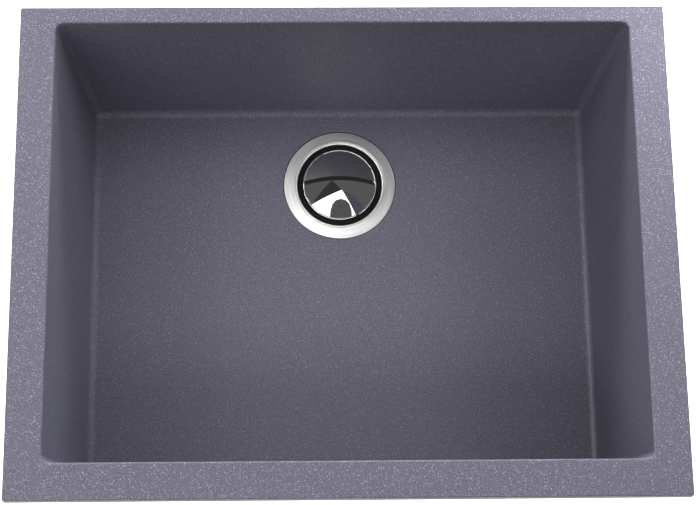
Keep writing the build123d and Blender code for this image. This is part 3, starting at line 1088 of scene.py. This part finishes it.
    def _pad(self, work: Workpiece, spot: Vector) -> None:
        """Cast the pad round one insert.

        Args:
            work: the piece to add to.
            spot: the insert's axis.
        """
        root = -self.rim_thickness
        face = root - self.pad_height
        work.turn([
            Corner(self.insert_radius, root + self.pad_buried),
            Corner(self.insert_radius, face),
            Corner(self.pad_radius, face, 0.5 * MM),
            Corner(self.pad_radius, root - 1.0 * MM, 0.6 * MM),
            Corner(self.pad_radius + self.pad_foot, root + self.pad_buried)], spot, 40)


def clip_stations() -> dict[str, Vector]:
    """Find the clips in the frame's record.

    Returns:
        Each clip's body, with the axis of its screw.
    """
    joints = frame["record"]["behaviour"]["joints"]
    return {joint["child"]: Vector((*joint["pos_m"][:2], 0.0)) for joint in joints
            if joint["child"].startswith("clip_")}


# ---- rim hardware ------------------------------------------------------------------------------
@dataclass
class HangerHardware:
    """The inserts cast in under the rim, with the screws, washers and slotted clips that they hold."""

    screw_radius: float = 3.0 * MM
    screw_core: float = 2.55 * MM
    screw_pitch: float = 1.0 * MM
    head_flats: float = 10.0 * MM
    head_top: float = -19.9 * MM
    head_height: float = 4.0 * MM
    head_face: float = 0.95
    head_face_rise: float = 0.3 * MM
    screw_length: float = 14.0 * MM
    washer_radius: float = 7.5 * MM
    washer_bore: float = 3.05 * MM
    washer_thickness: float = 1.6 * MM
    insert_radius: float = 4.5 * MM
    insert_low: float = -15.0 * MM
    insert_high: float = -5.0 * MM
    insert_lead: float = 0.4 * MM
    groove_places: tuple[float, float] = (0.3, 0.6)
    groove_depth: float = 0.5 * MM
    groove_slope: float = 0.3 * MM
    groove_width: float = 1.5 * MM
    clip_easing: float = 0.35 * MM

    def build(self) -> None:
        """Model and dress the hardware."""
        screws, washers, inserts = Workpiece(), Workpiece(), Workpiece()
        for clip, spot in clip_stations().items():
            self._screw(screws, spot)
            self._washer(washers, spot)
            self._insert(inserts, spot)
            strap = Workpiece()
            strap.copy_node(clip, self.clip_easing)
            strap.piece(clip + "_strap", ZINC, clip, [clip])
        screws.piece("hex_screws", ZINC, "sink", ["clip_screws"])
        washers.piece("screw_washers", ZINC, "sink", ["clip_washers"])
        inserts.piece("brass_inserts", BRASS, "sink", ["rim_inserts"])

    def _screw(self, work: Workpiece, spot: Vector) -> None:
        """Make one hexagon-headed screw, with its washer face and thread.

        Args:
            work: the piece to add to.
            spot: the screw's axis.
        """
        low = self.head_top - self.head_height
        tip = self.head_top + self.screw_length
        work.hexagon(spot, self.head_flats, low, self.head_top - self.head_face_rise)
        face = self.head_flats / 2 * self.head_face
        buried = self.head_top - 2 * self.head_face_rise
        work.turn([
            Corner(0.0, buried),
            Corner(face, buried),
            Corner(face, self.head_top, 0.1 * MM),
            Corner(self.screw_core, self.head_top, 0.15 * MM),
            Corner(self.screw_core, tip, 0.5 * MM),
            Corner(0.0, tip)], spot, 32, closed=False)
        work.thread(spot, self.screw_core - 0.1 * MM, self.screw_radius, self.head_top + 0.3 * MM,
                    tip - 0.3 * MM, self.screw_pitch, 24)

    def _washer(self, work: Workpiece, spot: Vector) -> None:
        """Make one plain washer with eased edges.

        Args:
            work: the piece to add to.
            spot: the washer's axis.
        """
        high = self.head_top + self.washer_thickness
        work.turn(band(self.washer_bore, self.washer_radius, self.head_top, high, 0.15, 0.4, 0.25, 0.15),
                  spot, 48)

    def _insert(self, work: Workpiece, spot: Vector) -> None:
        """Make one insert, with its lead-in and the grooves that key it into the casting.

        Args:
            work: the piece to add to.
            spot: the insert's axis.
        """
        bore, outer, low, high = self.washer_bore, self.insert_radius, self.insert_low, self.insert_high
        groove = outer - self.groove_depth
        corners = [Corner(bore, low + self.insert_lead), Corner(bore + self.insert_lead, low),
                   Corner(outer, low, 0.2 * MM)]
        for share in self.groove_places:
            level = low + (high - low) * share
            end = level + self.groove_width
            corners += [Corner(outer, level), Corner(groove, level + self.groove_slope),
                        Corner(groove, end - self.groove_slope), Corner(outer, end)]
        work.turn([*corners, Corner(outer, high, 0.3 * MM), Corner(bore, high)], spot, 36)


# ---- the drain's fixed pieces ------------------------------------------------------------------
@dataclass
class StrainerBody:
    """The steel body: crowned flange, rolled lip, conical seat, threaded cup and outlet."""

    flange_radius: float = 57.15 * MM
    flange_low: float = -201.5 * MM
    flange_edge: float = -200.3 * MM
    crest_radius: float = 46.6 * MM
    crest: float = -198.5 * MM
    groove_outer: float = 46.4 * MM
    groove_inner: float = 45.5 * MM
    groove_depth: float = 1.6 * MM
    lip_radius: float = 43.7 * MM
    neck_wall: float = 1.7 * MM
    seat_top: float = -200.9 * MM
    bore: float = 41.5 * MM
    seat_low: float = -204.5 * MM
    cup_floor: float = -248.0 * MM
    cup_under: float = -251.0 * MM
    cup_outer: float = 43.2 * MM
    cup_core: float = 42.6 * MM
    cup_round: float = 5.0 * MM
    thread_low: float = -244.0 * MM
    thread_high: float = -205.5 * MM
    thread_pitch: float = 2.0 * MM
    outlet_bore: float = 22.0 * MM
    outlet_outer: float = 24.0 * MM
    outlet_core: float = 23.4 * MM
    outlet_end: float = -272.0 * MM
    hub_radius: float = 11.0 * MM
    hub_bore: float = 6.5 * MM
    arm_width: float = 5.0 * MM
    arm_buried: float = 0.8 * MM
    arm_inset: float = 0.05 * MM

    def build(self) -> None:
        """Model and dress the body."""
        work = Workpiece()
        bead = (self.groove_inner - self.lip_radius) / 2
        work.turn([
            Corner(self.flange_radius, self.flange_low, 0.25 * MM),
            Corner(self.flange_radius, self.flange_edge, 0.55 * MM),
            Corner(self.crest_radius, self.crest, 0.08 * MM),
            Corner(self.groove_outer, self.crest - 0.04 * MM, 0.05 * MM),
            Corner(self.groove_outer - 0.15 * MM, self.crest - self.groove_depth, 0.1 * MM),
            Corner(self.groove_inner, self.crest - self.groove_depth),
            *arc(self.lip_radius + bead, self.crest - bead, bead, (0.0, 180.0), 12),
            Corner(self.lip_radius, self.seat_top, 0.4 * MM),
            Corner(self.bore, self.seat_low, 0.8 * MM),
            Corner(self.bore, self.cup_floor, 2.5 * MM),
            Corner(self.outlet_bore, self.cup_floor, 0.8 * MM),
            Corner(self.outlet_bore, self.outlet_end, 0.3 * MM),
            Corner(self.outlet_core, self.outlet_end, 0.3 * MM),
            Corner(self.outlet_core, self.cup_under, 1.0 * MM),
            Corner(self.cup_core - self.cup_round, self.cup_under, 2.0 * MM),
            Corner(self.cup_core, self.cup_under + self.cup_round, 2.0 * MM),
            Corner(self.cup_core, self.seat_low - 1.0 * MM),
            Corner(self.lip_radius + self.neck_wall, self.flange_low, 0.3 * MM)], AXIS, 160)
        work.thread(AXIS, self.cup_core - 0.2 * MM, self.cup_outer, self.thread_low, self.thread_high,
                    self.thread_pitch, 96)
        work.thread(AXIS, self.outlet_core - 0.2 * MM, self.outlet_outer, self.outlet_end + 0.6 * MM,
                    self.cup_under - 1.0 * MM, self.thread_pitch, 72)
        self._spider(work)
        work.piece("strainer_shell", FLANGE, "sink", ["strainer_body"])

    def _spider(self, work: Workpiece) -> None:
        """Add the hub and the arms that hold it.

        Args:
            work: the piece to add to.
        """
        low, high = self.cup_under, self.cup_floor
        work.turn(band(self.hub_bore, self.hub_radius, low, high, 0.3, 0.5, 0.5, 0.3), AXIS, 64)
        half = self.arm_width / 2
        for quarter in range(4):
            work.block(AXIS + Vector((self.hub_radius - self.arm_buried, -half, low + self.arm_inset)),
                       AXIS + Vector((self.outlet_bore + self.arm_buried, half, high - self.arm_inset)),
                       0.5 * MM, quarter * math.pi / 2, AXIS)


@dataclass
class WasteFittings:
    """The washers, nuts and tube that clamp the body to the bowl and carry the water away."""

    lock_low: float = -227.2 * MM
    lock_high: float = -218.2 * MM
    lock_radius: float = 54.0 * MM
    lock_bore: float = 43.25 * MM
    collar_wall: float = 3.2 * MM
    collar_draft: float = 1.0 * MM
    web_thickness: float = 3.0 * MM
    rim_wall: float = 2.6 * MM
    rim_draft: float = 0.8 * MM
    rim_step: float = 1.5 * MM
    lug_reach: float = 58.0 * MM
    lug_buried: float = 2.0 * MM
    lug_width: float = 12.0 * MM
    lugs: int = 6
    slip_low: float = -279.0 * MM
    slip_high: float = -262.0 * MM
    slip_flats: float = 58.0 * MM
    shoulder_bore: float = 19.6 * MM
    thread_bore: float = 24.05 * MM
    shoulder: float = -275.5 * MM
    shoulder_buried: float = 0.4 * MM
    shoulder_share: float = 0.97
    shoulder_taper: tuple[float, float] = (2.0 * MM, 2.4 * MM)
    tube_outer: float = 19.05 * MM
    tube_inner: float = 18.05 * MM
    neck_radius: float = 19.35 * MM
    neck_low: float = -281.0 * MM
    tube_flange_radius: float = 23.4 * MM
    tube_flange_top: float = -274.0 * MM
    tube_flange_low: float = -275.5 * MM
    tube_end: float = -375.6 * MM

    def build(self) -> None:
        """Model and dress the fittings."""
        self._lock_nut()
        self._slip_nut()
        self._tailpiece()
        self._ring("flange_seal", "flange_gasket", RUBBER, 0.15, 96)
        self._ring("rubber_washer", "sealing_washer", RUBBER, 0.6, 96)
        self._ring("fibre_washer", "friction_washer", FIBRE, 0.1, 96)
        self._ring("cone_washer", "tailpiece_washer", PLASTIC, 0.3, 72)

    def _ring(self, name: str, node: str, finish: Finish, easing: float, steps: int) -> None:
        """Turn a flat ring with eased edges in the place of a node.

        Args:
            name: the piece's name.
            node: the node, a flat ring round the drain's axis.
            finish: its surface.
            easing: the radius on its edges, in millimetres.
            steps: facets round it.
        """
        low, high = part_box(node)
        spots = [v.co for v in frame["nodes"][node].data.vertices]
        bore = min(math.hypot(s.x - DRAIN_AXIS[0], s.y - DRAIN_AXIS[1]) for s in spots)
        outer = (high[0] - low[0]) / 2
        work = Workpiece()
        work.turn(band(bore, outer, low[2], high[2], *[easing] * 4), AXIS, steps)
        work.piece(name, finish, "sink", [node])

    def _lock_nut(self) -> None:
        """Model the cast nut, its web, its rim and its lugs."""
        work = Workpiece()
        web = self.lock_high - self.web_thickness
        rim_low = self.lock_low + self.rim_step
        work.turn([
            Corner(self.lock_bore, self.lock_low, 0.4 * MM),
            Corner(self.lock_bore + self.collar_wall, self.lock_low, 0.5 * MM),
            Corner(self.lock_bore + self.collar_wall + self.collar_draft, web, 0.8 * MM),
            Corner(self.lock_radius - self.rim_wall - self.rim_draft, web, 0.8 * MM),
            Corner(self.lock_radius - self.rim_wall, rim_low, 0.5 * MM),
            Corner(self.lock_radius, rim_low, 0.5 * MM),
            Corner(self.lock_radius, self.lock_high, 0.6 * MM),
            Corner(self.lock_bore, self.lock_high, 0.4 * MM)], AXIS, 120)
        half = self.lug_width / 2
        for index in range(self.lugs):
            work.block(AXIS + Vector((self.lock_radius - self.lug_buried, -half, self.lock_low)),
                       AXIS + Vector((self.lug_reach, half, self.lock_high)), 0.9 * MM,
                       2 * math.pi * index / self.lugs, AXIS)
        work.piece("lugged_nut", ALLOY, "sink", ["lock_nut"])

    def _slip_nut(self) -> None:
        """Model the hexagon nut that holds the tailpiece, with its turned shoulder."""
        work = Workpiece()
        work.hexagon(AXIS, self.slip_flats, self.shoulder, self.slip_high, self.thread_bore, 96)
        outer = self.slip_flats / 2 * self.shoulder_share
        overlap = self.shoulder + self.shoulder_buried
        taper_in, taper_up = self.shoulder_taper
        work.turn([
            Corner(self.shoulder_bore, self.slip_low, 0.4 * MM),
            Corner(outer - taper_in, self.slip_low, 0.8 * MM),
            Corner(outer, self.slip_low + taper_up, 0.5 * MM),
            Corner(outer, overlap),
            Corner(self.thread_bore, overlap),
            Corner(self.shoulder_bore, self.shoulder)], AXIS, 96)
        work.piece("hexagon_nut", ALLOY, "sink", ["slip_nut"])

    def _tailpiece(self) -> None:
        """Model the flanged tube, with its neck and its eased lower end."""
        work = Workpiece()
        step = self.neck_radius - self.tube_outer
        work.turn([
            Corner(self.tube_inner, self.tube_end, 0.35 * MM),
            Corner(self.tube_outer, self.tube_end, 0.35 * MM),
            Corner(self.tube_outer, self.neck_low - step),
            Corner(self.neck_radius, self.neck_low),
            Corner(self.neck_radius, self.tube_flange_low, 0.4 * MM),
            Corner(self.tube_flange_radius, self.tube_flange_low, 0.5 * MM),
            Corner(self.tube_flange_radius, self.tube_flange_top, 0.5 * MM),
            Corner(self.tube_inner, self.tube_flange_top, 0.8 * MM)], AXIS, 96)
        work.piece("tail_tube", TUBE, "sink", ["tailpiece"])


# ---- the basket --------------------------------------------------------------------------------
@dataclass
class Basket:
    """The perforated cup that lifts out, with its post and the seat that it stands on."""

    top: float = -212.7 * MM
    top_radius: float = 40.3 * MM
    rolled_rim: float = 0.85 * MM
    sheet_easing: float = 0.12 * MM
    floor: float = -244.7 * MM
    post_socket: float = -240.0 * MM
    post_radius: float = 8.0 * MM
    post_bore: float = 6.6 * MM
    post_top: float = -210.5 * MM
    bush_top: float = -209.3 * MM
    bush_low: float = -217.0 * MM
    stem_bore: float = 4.05 * MM
    ring_groove: float = 5.65 * MM
    ring_section: float = 0.75 * MM
    stud_radius: float = 3.0 * MM
    stud_core: float = 2.6 * MM
    stud_pitch: float = 1.0 * MM
    stud_end: float = -260.0 * MM
    low: float = -245.7 * MM
    grommet_flange: float = 9.0 * MM
    grommet_lip: float = 2.0 * MM
    grommet_neck: float = 6.2 * MM
    grommet_low: float = -252.2 * MM
    washer_radius: float = 6.0 * MM
    washer_low: float = -253.2 * MM
    nut_flats: float = 10.0 * MM
    nut_low: float = -258.2 * MM

    def build(self) -> None:
        """Model and dress the basket's pieces."""
        self._cup()
        self._post()
        self._seat()

    def _cup(self) -> None:
        """Keep the pierced sheet and roll its rim."""
        work = Workpiece()
        work.copy_node("strainer_basket", self.sheet_easing)
        work.turn(arc(self.top_radius - self.rolled_rim, self.top - self.rolled_rim, self.rolled_rim,
                      (0.0, 330.0), 11), AXIS, 96)
        work.piece("pierced_cup", SHEET, "basket", ["strainer_basket"])

    def _post(self) -> None:
        """Model the hollow post with its stud and the bush in its mouth, and dress the bush's sealing ring.
        """
        post = Workpiece()
        post.turn([
            Corner(0.0, self.post_socket),
            Corner(self.post_bore, self.post_socket, 0.5 * MM),
            Corner(self.post_bore, self.post_top, 0.2 * MM),
            Corner(self.post_radius, self.post_top, 0.3 * MM),
            Corner(self.post_radius, self.floor, 0.3 * MM),
            Corner(self.stud_core, self.floor, 0.2 * MM),
            Corner(self.stud_core, self.stud_end, 0.5 * MM),
            Corner(0.0, self.stud_end)], AXIS, 64, closed=False)
        post.thread(AXIS, self.stud_core - 0.1 * MM, self.stud_radius, self.stud_end + 0.2 * MM,
                    self.low - self.grommet_lip, self.stud_pitch, 24)
        post.piece("hollow_post", SHEET, "basket", ["basket_post"])
        bush = Workpiece()
        middle = (self.bush_top + self.bush_low) / 2
        bush.turn([
            Corner(self.stem_bore, self.bush_low, 0.2 * MM),
            Corner(self.post_bore, self.bush_low, 0.4 * MM),
            Corner(self.post_bore, self.post_top, 0.1 * MM),
            Corner(self.post_radius, self.post_top, 0.2 * MM),
            Corner(self.post_radius, self.bush_top, 0.4 * MM),
            Corner(self.stem_bore, self.bush_top, 0.3 * MM),
            Corner(self.stem_bore, middle + self.ring_section),
            Corner(self.ring_groove, middle + self.ring_section),
            Corner(self.ring_groove, middle - self.ring_section),
            Corner(self.stem_bore, middle - self.ring_section)], AXIS, 64)
        bush.piece("stem_bush", PLASTIC, "basket", ["guide_bush"])
        FINISHES.dress(RUBBER, "stem_o_ring")

    def _seat(self) -> None:
        """Model the grommet, washer and nut under the basket."""
        bore = self.stud_radius + BORE_GAP
        grommet, washer, nut = Workpiece(), Workpiece(), Workpiece()
        flange = self.low - self.grommet_lip
        grommet.turn([
            Corner(bore, self.grommet_low, 0.3 * MM),
            Corner(self.grommet_neck, self.grommet_low, 0.4 * MM),
            Corner(self.grommet_neck, flange, 0.2 * MM),
            Corner(self.grommet_flange, flange, 0.5 * MM),
            Corner(self.grommet_flange, self.low, 0.5 * MM),
            Corner(bore, self.low, 0.3 * MM)], AXIS, 64)
        washer.turn(band(bore, self.washer_radius, self.washer_low, self.grommet_low, 0.1, 0.25, 0.2, 0.1),
                    AXIS, 48)
        nut.hexagon(AXIS, self.nut_flats, self.nut_low, self.washer_low, bore)
        grommet.piece("seat_grommet", RUBBER, "basket", ["post_grommet"])
        washer.piece("stud_washer", SHEET, "basket", ["post_washer"])
        nut.piece("stud_nut", SHEET, "basket", ["post_nut"])


# ---- the stopper -------------------------------------------------------------------------------
@dataclass
class Stopper:
    """The mirror-polished cap on its black seal, and the stem that slides in the post."""

    cap_radius: float = 37.8 * MM
    cap_edge: float = -198.6 * MM
    cap_rise: float = 6.3 * MM
    cap_low: float = -200.4 * MM
    sheet: float = 1.0 * MM
    brim: float = 1.6 * MM
    brim_round: float = 0.8 * MM
    brim_drop: float = 0.5 * MM
    seal_inner: float = 30.0 * MM
    seal_top_radius: float = 43.4 * MM
    seal_low_radius: float = 41.8 * MM
    seal_low: float = -203.4 * MM
    bead_radius: float = 40.3 * MM
    bead: float = 0.5 * MM
    bead_flat: float = 0.3 * MM
    plate_radius: float = 35.0 * MM
    plate_low: float = -205.0 * MM
    stem_radius: float = 4.0 * MM
    stem_low: float = -230.3 * MM
    stem_top: float = -199.4 * MM
    boss_radius: float = 7.0 * MM
    nut_flats: float = 13.0 * MM
    nut_low: float = -209.0 * MM
    stop_radius: float = 6.2 * MM
    stop_low: float = -228.8 * MM
    stop_high: float = -227.3 * MM

    def build(self) -> None:
        """Model and dress the stopper's pieces."""
        self._cap()
        self._seal()
        self._under()

    def _cap(self) -> None:
        """Model the pressed dome, its brim and its boss."""
        sphere = (self.cap_radius ** 2 + self.cap_rise ** 2) / (2 * self.cap_rise)
        apex = self.cap_edge + self.cap_rise
        bore = self.cap_radius - self.sheet

        def dome(reach: float, top: float, steps: int) -> list[Corner]:
            """The dome's section, from so far out in to the axis."""
            return arc(0.0, top - sphere, sphere, (math.degrees(math.acos(reach / sphere)), 90.0), steps)

        brim = arc(self.cap_radius - self.brim_round, self.cap_edge - self.brim_drop, self.brim_round,
                   (0.0, 150.0), 10)
        work = Workpiece()
        work.turn([
            *reversed(dome(bore, apex - self.sheet, 14)),
            Corner(bore, self.cap_low, 0.15 * MM),
            Corner(self.cap_radius, self.cap_low, 0.2 * MM),
            *brim,
            *dome(self.cap_radius - self.brim, apex, 40)], AXIS, 160, closed=False)
        work.turn(band(self.stem_radius, self.boss_radius, self.seal_low, apex - 2 * self.sheet,
                       0.2, 0.4, 0.0, 0.0), AXIS, 48)
        work.piece("domed_cap", MIRROR, "stopper", ["stopper_cap"])

    def _seal(self) -> None:
        """Model the flat seal and its raised bead."""
        work = Workpiece()
        work.turn([
            Corner(self.seal_inner, self.seal_low),
            Corner(self.seal_low_radius, self.seal_low, 0.3 * MM),
            Corner(self.seal_top_radius, self.cap_low, 0.45 * MM),
            Corner(self.bead_radius + self.bead, self.cap_low, 0.1 * MM),
            Corner(self.bead_radius + self.bead_flat, self.cap_low + self.bead, 0.25 * MM),
            Corner(self.bead_radius - self.bead_flat, self.cap_low + self.bead, 0.25 * MM),
            Corner(self.bead_radius - self.bead, self.cap_low, 0.1 * MM),
            Corner(self.seal_inner, self.cap_low)], AXIS, 144)
        work.piece("cap_seal", RUBBER, "stopper", ["stopper_seal"])

    def _under(self) -> None:
        """Model the backing plate, stem, nut and stop ring."""
        plate, stem, nut, stop = Workpiece(), Workpiece(), Workpiece(), Workpiece()
        bore = self.stem_radius + BORE_GAP
        plate.turn(band(bore, self.plate_radius, self.plate_low, self.seal_low, 0.2, 0.8, 0.3, 0.2), AXIS, 96)
        stem.turn(band(0.0, self.stem_radius, self.stem_low, self.stem_top, 0.0, 0.6, 0.4, 0.0),
                  AXIS, 48, closed=False)
        nut.hexagon(AXIS, self.nut_flats, self.nut_low, self.plate_low, bore)
        stop.turn(band(self.stem_radius, self.stop_radius, self.stop_low, self.stop_high, 0.0, 0.4, 0.4, 0.0),
                  AXIS, 48)
        plate.piece("backing_plate", SHEET, "stopper", ["stopper_plate"])
        stem.piece("sliding_stem", SHEET, "stopper", ["stopper_stem"])
        nut.piece("plate_nut", SHEET, "stopper", ["stem_nut"])
        stop.piece("stop_collar", SHEET, "stopper", ["stem_stop_ring"])


# ---- studio ------------------------------------------------------------------------------------
@dataclass(frozen=True)
class Lamp:
    """One softbox that lights the matt surfaces; it doesn't show in the metal.

    A level one faces straight down, and any other faces the origin.
    """

    name: str
    place: tuple[float, float, float]
    power: float
    size: tuple[float, float] = (0.9, 0.9)
    level: bool = False

    def hang(self) -> None:
        """Hang the softbox."""
        data = bpy.data.lights.new(self.name, "AREA")
        data.shape = "RECTANGLE"
        data.size, data.size_y = self.size
        data.energy = self.power
        light = bpy.data.objects.new(self.name, data)
        bpy.context.scene.collection.objects.link(light)
        target = Vector((self.place[0], self.place[1], 0.0)) if self.level else Vector()
        aim = (target - Vector(self.place)).to_track_quat("-Z", "Y").to_matrix().to_4x4()
        light.matrix_world = Matrix.Translation(self.place) @ aim
        light.visible_glossy = False
        light.visible_camera = False


def set_up(name: str, sheet: bmesh.types.BMesh, material: bpy.types.Material) -> bpy.types.Object:
    """Make a sheet of the studio, which isn't part of the sink.

    Args:
        name: its name.
        sheet: its shape, freed here.
        material: its surface.

    Returns:
        The object.
    """
    mesh = bpy.data.meshes.new(name)
    sheet.to_mesh(mesh)
    sheet.free()
    mesh.materials.append(material)
    obj = bpy.data.objects.new(name, mesh)
    bpy.context.scene.collection.objects.link(obj)
    return obj


@dataclass(frozen=True)
class Card:
    """A flat card overhead that only the metal and the gloss reflect.

    Its corners are directions from the middle of the cap, in degrees to the right and towards
    the back from straight up, and its height is measured from there.
    """

    name: str
    corners: tuple[tuple[float, float], ...]
    height: float
    glow: Colour
    strength: float = 1.0

    def hang(self) -> None:
        """Hang the card."""
        sheet = bmesh.new()
        slopes = [[math.tan(math.radians(angle)) for angle in corner] for corner in self.corners]
        middle = Vector(CAP_MIDDLE)
        spots = [sheet.verts.new(middle + self.height * Vector((*slope, 1.0))) for slope in slopes]
        bmesh.ops.contextual_create(sheet, geom=spots)
        paint = Paint(self.name)
        material = paint.finish({"Base Color": (0.0, 0.0, 0.0), "Roughness": 1.0, "Specular IOR Level": 0.0,
                                 "Emission Color": self.glow, "Emission Strength": self.strength})
        card = set_up(self.name, sheet, material)
        card.visible_camera = False
        card.visible_diffuse = False
        card.visible_transmission = False
        card.visible_shadow = False


WHITE = (1.0, 1.0, 1.0)
WALL_TURN = 15.0                     # half a wall panel's width, in degrees round the drain
WALL_FALL = (44.0, 66.0)             # its upper and lower edges, in degrees from straight up
WALL_GLOWS = ((0.0, 6.0), (30.0, 3.5), (120.0, 6.0), (150.0, 17.0), (180.0, 17.0), (210.0, 10.0),
              (330.0, 7.0))          # each panel's direction and strength


def wall_card(azimuth: float, glow: float) -> Card:
    """A pale panel high on the studio's wall.

    Args:
        azimuth: its direction from the drain, in degrees from the right.
        glow: its strength.

    Returns:
        The card.
    """
    corners = []
    high, low = WALL_FALL
    for turn, fall in ((-WALL_TURN, high), (WALL_TURN, high), (WALL_TURN, low), (-WALL_TURN, low)):
        angle, reach = math.radians(azimuth + turn), math.tan(math.radians(fall))
        corners.append((math.degrees(math.atan(reach * math.cos(angle))),
                        math.degrees(math.atan(reach * math.sin(angle)))))
    return Card(f"wall_{azimuth:.0f}", tuple(corners), 1.5, WHITE, glow)


# What the cap and the flange mirror: a softbox, the sides of its shell, a round-topped flag below
# it, a grey ceiling and pale panels on the walls.
CARDS = (
    Card("softbox_face", ((3.5, 10.0), (-51.0, -21.0), (-33.0, -62.0), (34.0, -41.0)), 2.395, WHITE, 3.6),
    Card("shell_left", ((-6.9, 20.8), (-27.0, -2.5), (3.5, 10.0)), 2.30, (0.065, 0.065, 0.075)),
    Card("shell_right", ((3.5, 10.0), (34.5, -41.5), (47.0, -36.0), (24.9, -5.2), (14.0, 5.0)), 2.31,
         (0.13, 0.14, 0.18)),
    Card("round_flag", ((-10.0, -20.0), (-9.0, -12.0), (-6.5, -5.0), (-3.0, -1.2), (2.5, 0.3), (8.0, -1.2),
                        (11.5, -5.0), (14.0, -12.0), (15.0, -20.0)), 2.0, (0.17, 0.168, 0.17)),
    Card("ceiling", ((-62.0, 20.7), (-62.0, -62.0), (62.0, -62.0), (62.0, 20.7)), 2.6, (0.185, 0.183, 0.18)),
    *(wall_card(azimuth, glow) for azimuth, glow in WALL_GLOWS),
)
CEILING = 2.2                        # the height of the ceiling lamps; the grid holds X, Y and power
CEILING_GRID = ((-0.9, -1.8, 13.5), (-0.9, 0.0, 1.36), (-0.9, 0.9, 6.99), (-1.8, -1.8, 13.6),
                (0.9, -0.9, 1.18), (0.9, -1.8, 5.26), (0.9, 0.0, 2.65), (0.9, 0.9, 8.78),
                (0.0, -1.8, 7.12), (0.0, 0.9, 4.46), (0.0, 1.8, 4.21), (1.8, -1.8, 8.23))
# Lamps close above the rim, low lamps outside it and the grid on the ceiling. Their powers in
# watts balance the tones of the rim, the walls and the floor.
LAMPS = (
    Lamp("corner_c", (0.6, 0.35, 0.3), 0.483, (0.2, 0.1)),
    Lamp("corner_e", (0.45, 0.35, 0.2), 1.61, (0.2, 0.1)),
    Lamp("near_0", (0.75, 0.0, 0.55), 0.178, (0.3, 0.15)),
    Lamp("near_150", (-0.65, 0.325, 0.55), 1.74, (0.3, 0.15)),
    Lamp("near_180", (-0.75, 0.0, 0.55), 0.399, (0.3, 0.15)),
    Lamp("near_240", (-0.375, -0.563, 0.55), 0.493, (0.3, 0.15)),
    Lamp("near_30", (0.65, 0.325, 0.55), 1.25, (0.3, 0.15)),
    Lamp("low_240", (-1.0, -1.732, 0.5), 4.13, (0.9, 0.5)),
    Lamp("low_90", (0.0, 2.0, 0.5), 92.9, (0.9, 0.5)),
    Lamp("side_90", (0.0, 2.2, 1.2), 5.19, (0.9, 0.6)),
    *(Lamp(f"ceiling_{index}", (x, y, CEILING), power, level=True)
      for index, (x, y, power) in enumerate(CEILING_GRID, 1)),
)


@dataclass
class Studio:
    """White floor, soft light and the camera."""

    camera_at: tuple[float, float, float] = (-0.04907, -0.49642, 1.71998)
    elevation: float = 72.761
    azimuth: float = 3.855
    roll: float = 3.397
    lens: float = 101.283
    sensor: float = 36.0
    shift: tuple[float, float] = (0.0243, -0.0676)
    floor_drop: float = 0.004
    overhead: float = 0.04
    overhead_from: float = 0.55
    horizon: float = 0.35
    horizon_to: float = 0.30
    floor_reach: float = 6.0
    floor_tone: float = 0.85
    floor_glow: float = 0.9

    def build(self) -> None:
        """Set up everything that isn't the sink."""
        self._camera()
        self._floor()
        self._world()
        for item in (*LAMPS, *CARDS):
            item.hang()
        view = bpy.context.scene.view_settings
        view.view_transform = "Standard"
        view.look = "None"
        view.exposure = 0.0
        view.gamma = 1.0

    def _camera(self) -> None:
        """Stand the camera where the photograph was taken."""
        up, turn, roll = (math.radians(a) for a in (self.elevation, self.azimuth, self.roll))
        ahead = Vector((math.sin(turn) * math.cos(up), math.cos(turn) * math.cos(up), -math.sin(up)))
        level = Vector((math.cos(turn), -math.sin(turn), 0.0))
        right = level * math.cos(roll) + level.cross(ahead) * math.sin(roll)
        data = bpy.data.cameras.new("camera")
        data.sensor_fit = "HORIZONTAL"
        data.sensor_width = self.sensor
        data.lens = self.lens
        data.shift_x, data.shift_y = self.shift
        data.clip_start = 0.01
        data.clip_end = 50.0
        camera = bpy.data.objects.new("camera", data)
        bpy.context.scene.collection.objects.link(camera)
        axes = Matrix((right, right.cross(ahead), -ahead)).transposed().to_4x4()
        camera.matrix_world = Matrix.Translation(self.camera_at) @ axes
        bpy.context.scene.camera = camera

    def _floor(self) -> None:
        """Lay the white floor just below the tailpiece."""
        paint = Paint("studio_floor")
        material = paint.finish({"Base Color": (self.floor_tone,) * 3, "Roughness": 0.9,
                                 "Emission Color": WHITE, "Emission Strength": self.floor_glow})
        slab = bmesh.new()
        bmesh.ops.create_grid(slab, x_segments=1, y_segments=1, size=self.floor_reach)
        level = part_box("tailpiece")[0][2] - self.floor_drop
        bmesh.ops.translate(slab, verts=slab.verts[:], vec=(0.0, 0.0, level))
        set_up("studio_floor", slab, material)

    def _world(self) -> None:
        """Fill the room: dark overhead, pale towards the horizon, and seen only in the gloss."""
        world = bpy.data.worlds.new("room")
        bpy.context.scene.world = world
        world.use_nodes = True
        room = NodeTree(world.node_tree)
        height = room.axes(room.node("ShaderNodeTexCoord").outputs["Generated"])[2]
        light = room.ramp(height, ((self.horizon_to, self.horizon), (self.overhead_from, self.overhead)))
        glow = room.node("ShaderNodeBackground", {}, {"Color": light, "Strength": 1.0})
        room.node("ShaderNodeOutputWorld", {}, {"Surface": glow.outputs["Background"]})
        world.cycles_visibility.diffuse = False


def main() -> None:
    """Build the sink and its studio."""
    logging.basicConfig(level=logging.INFO, format="%(name)s: %(message)s")
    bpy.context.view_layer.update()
    for assembly in (Bowl(), HangerHardware(), StrainerBody(), WasteFittings(), Basket(), Stopper(),
                     Studio()):
        assembly.build()


if __name__ == "__main__":
    main()
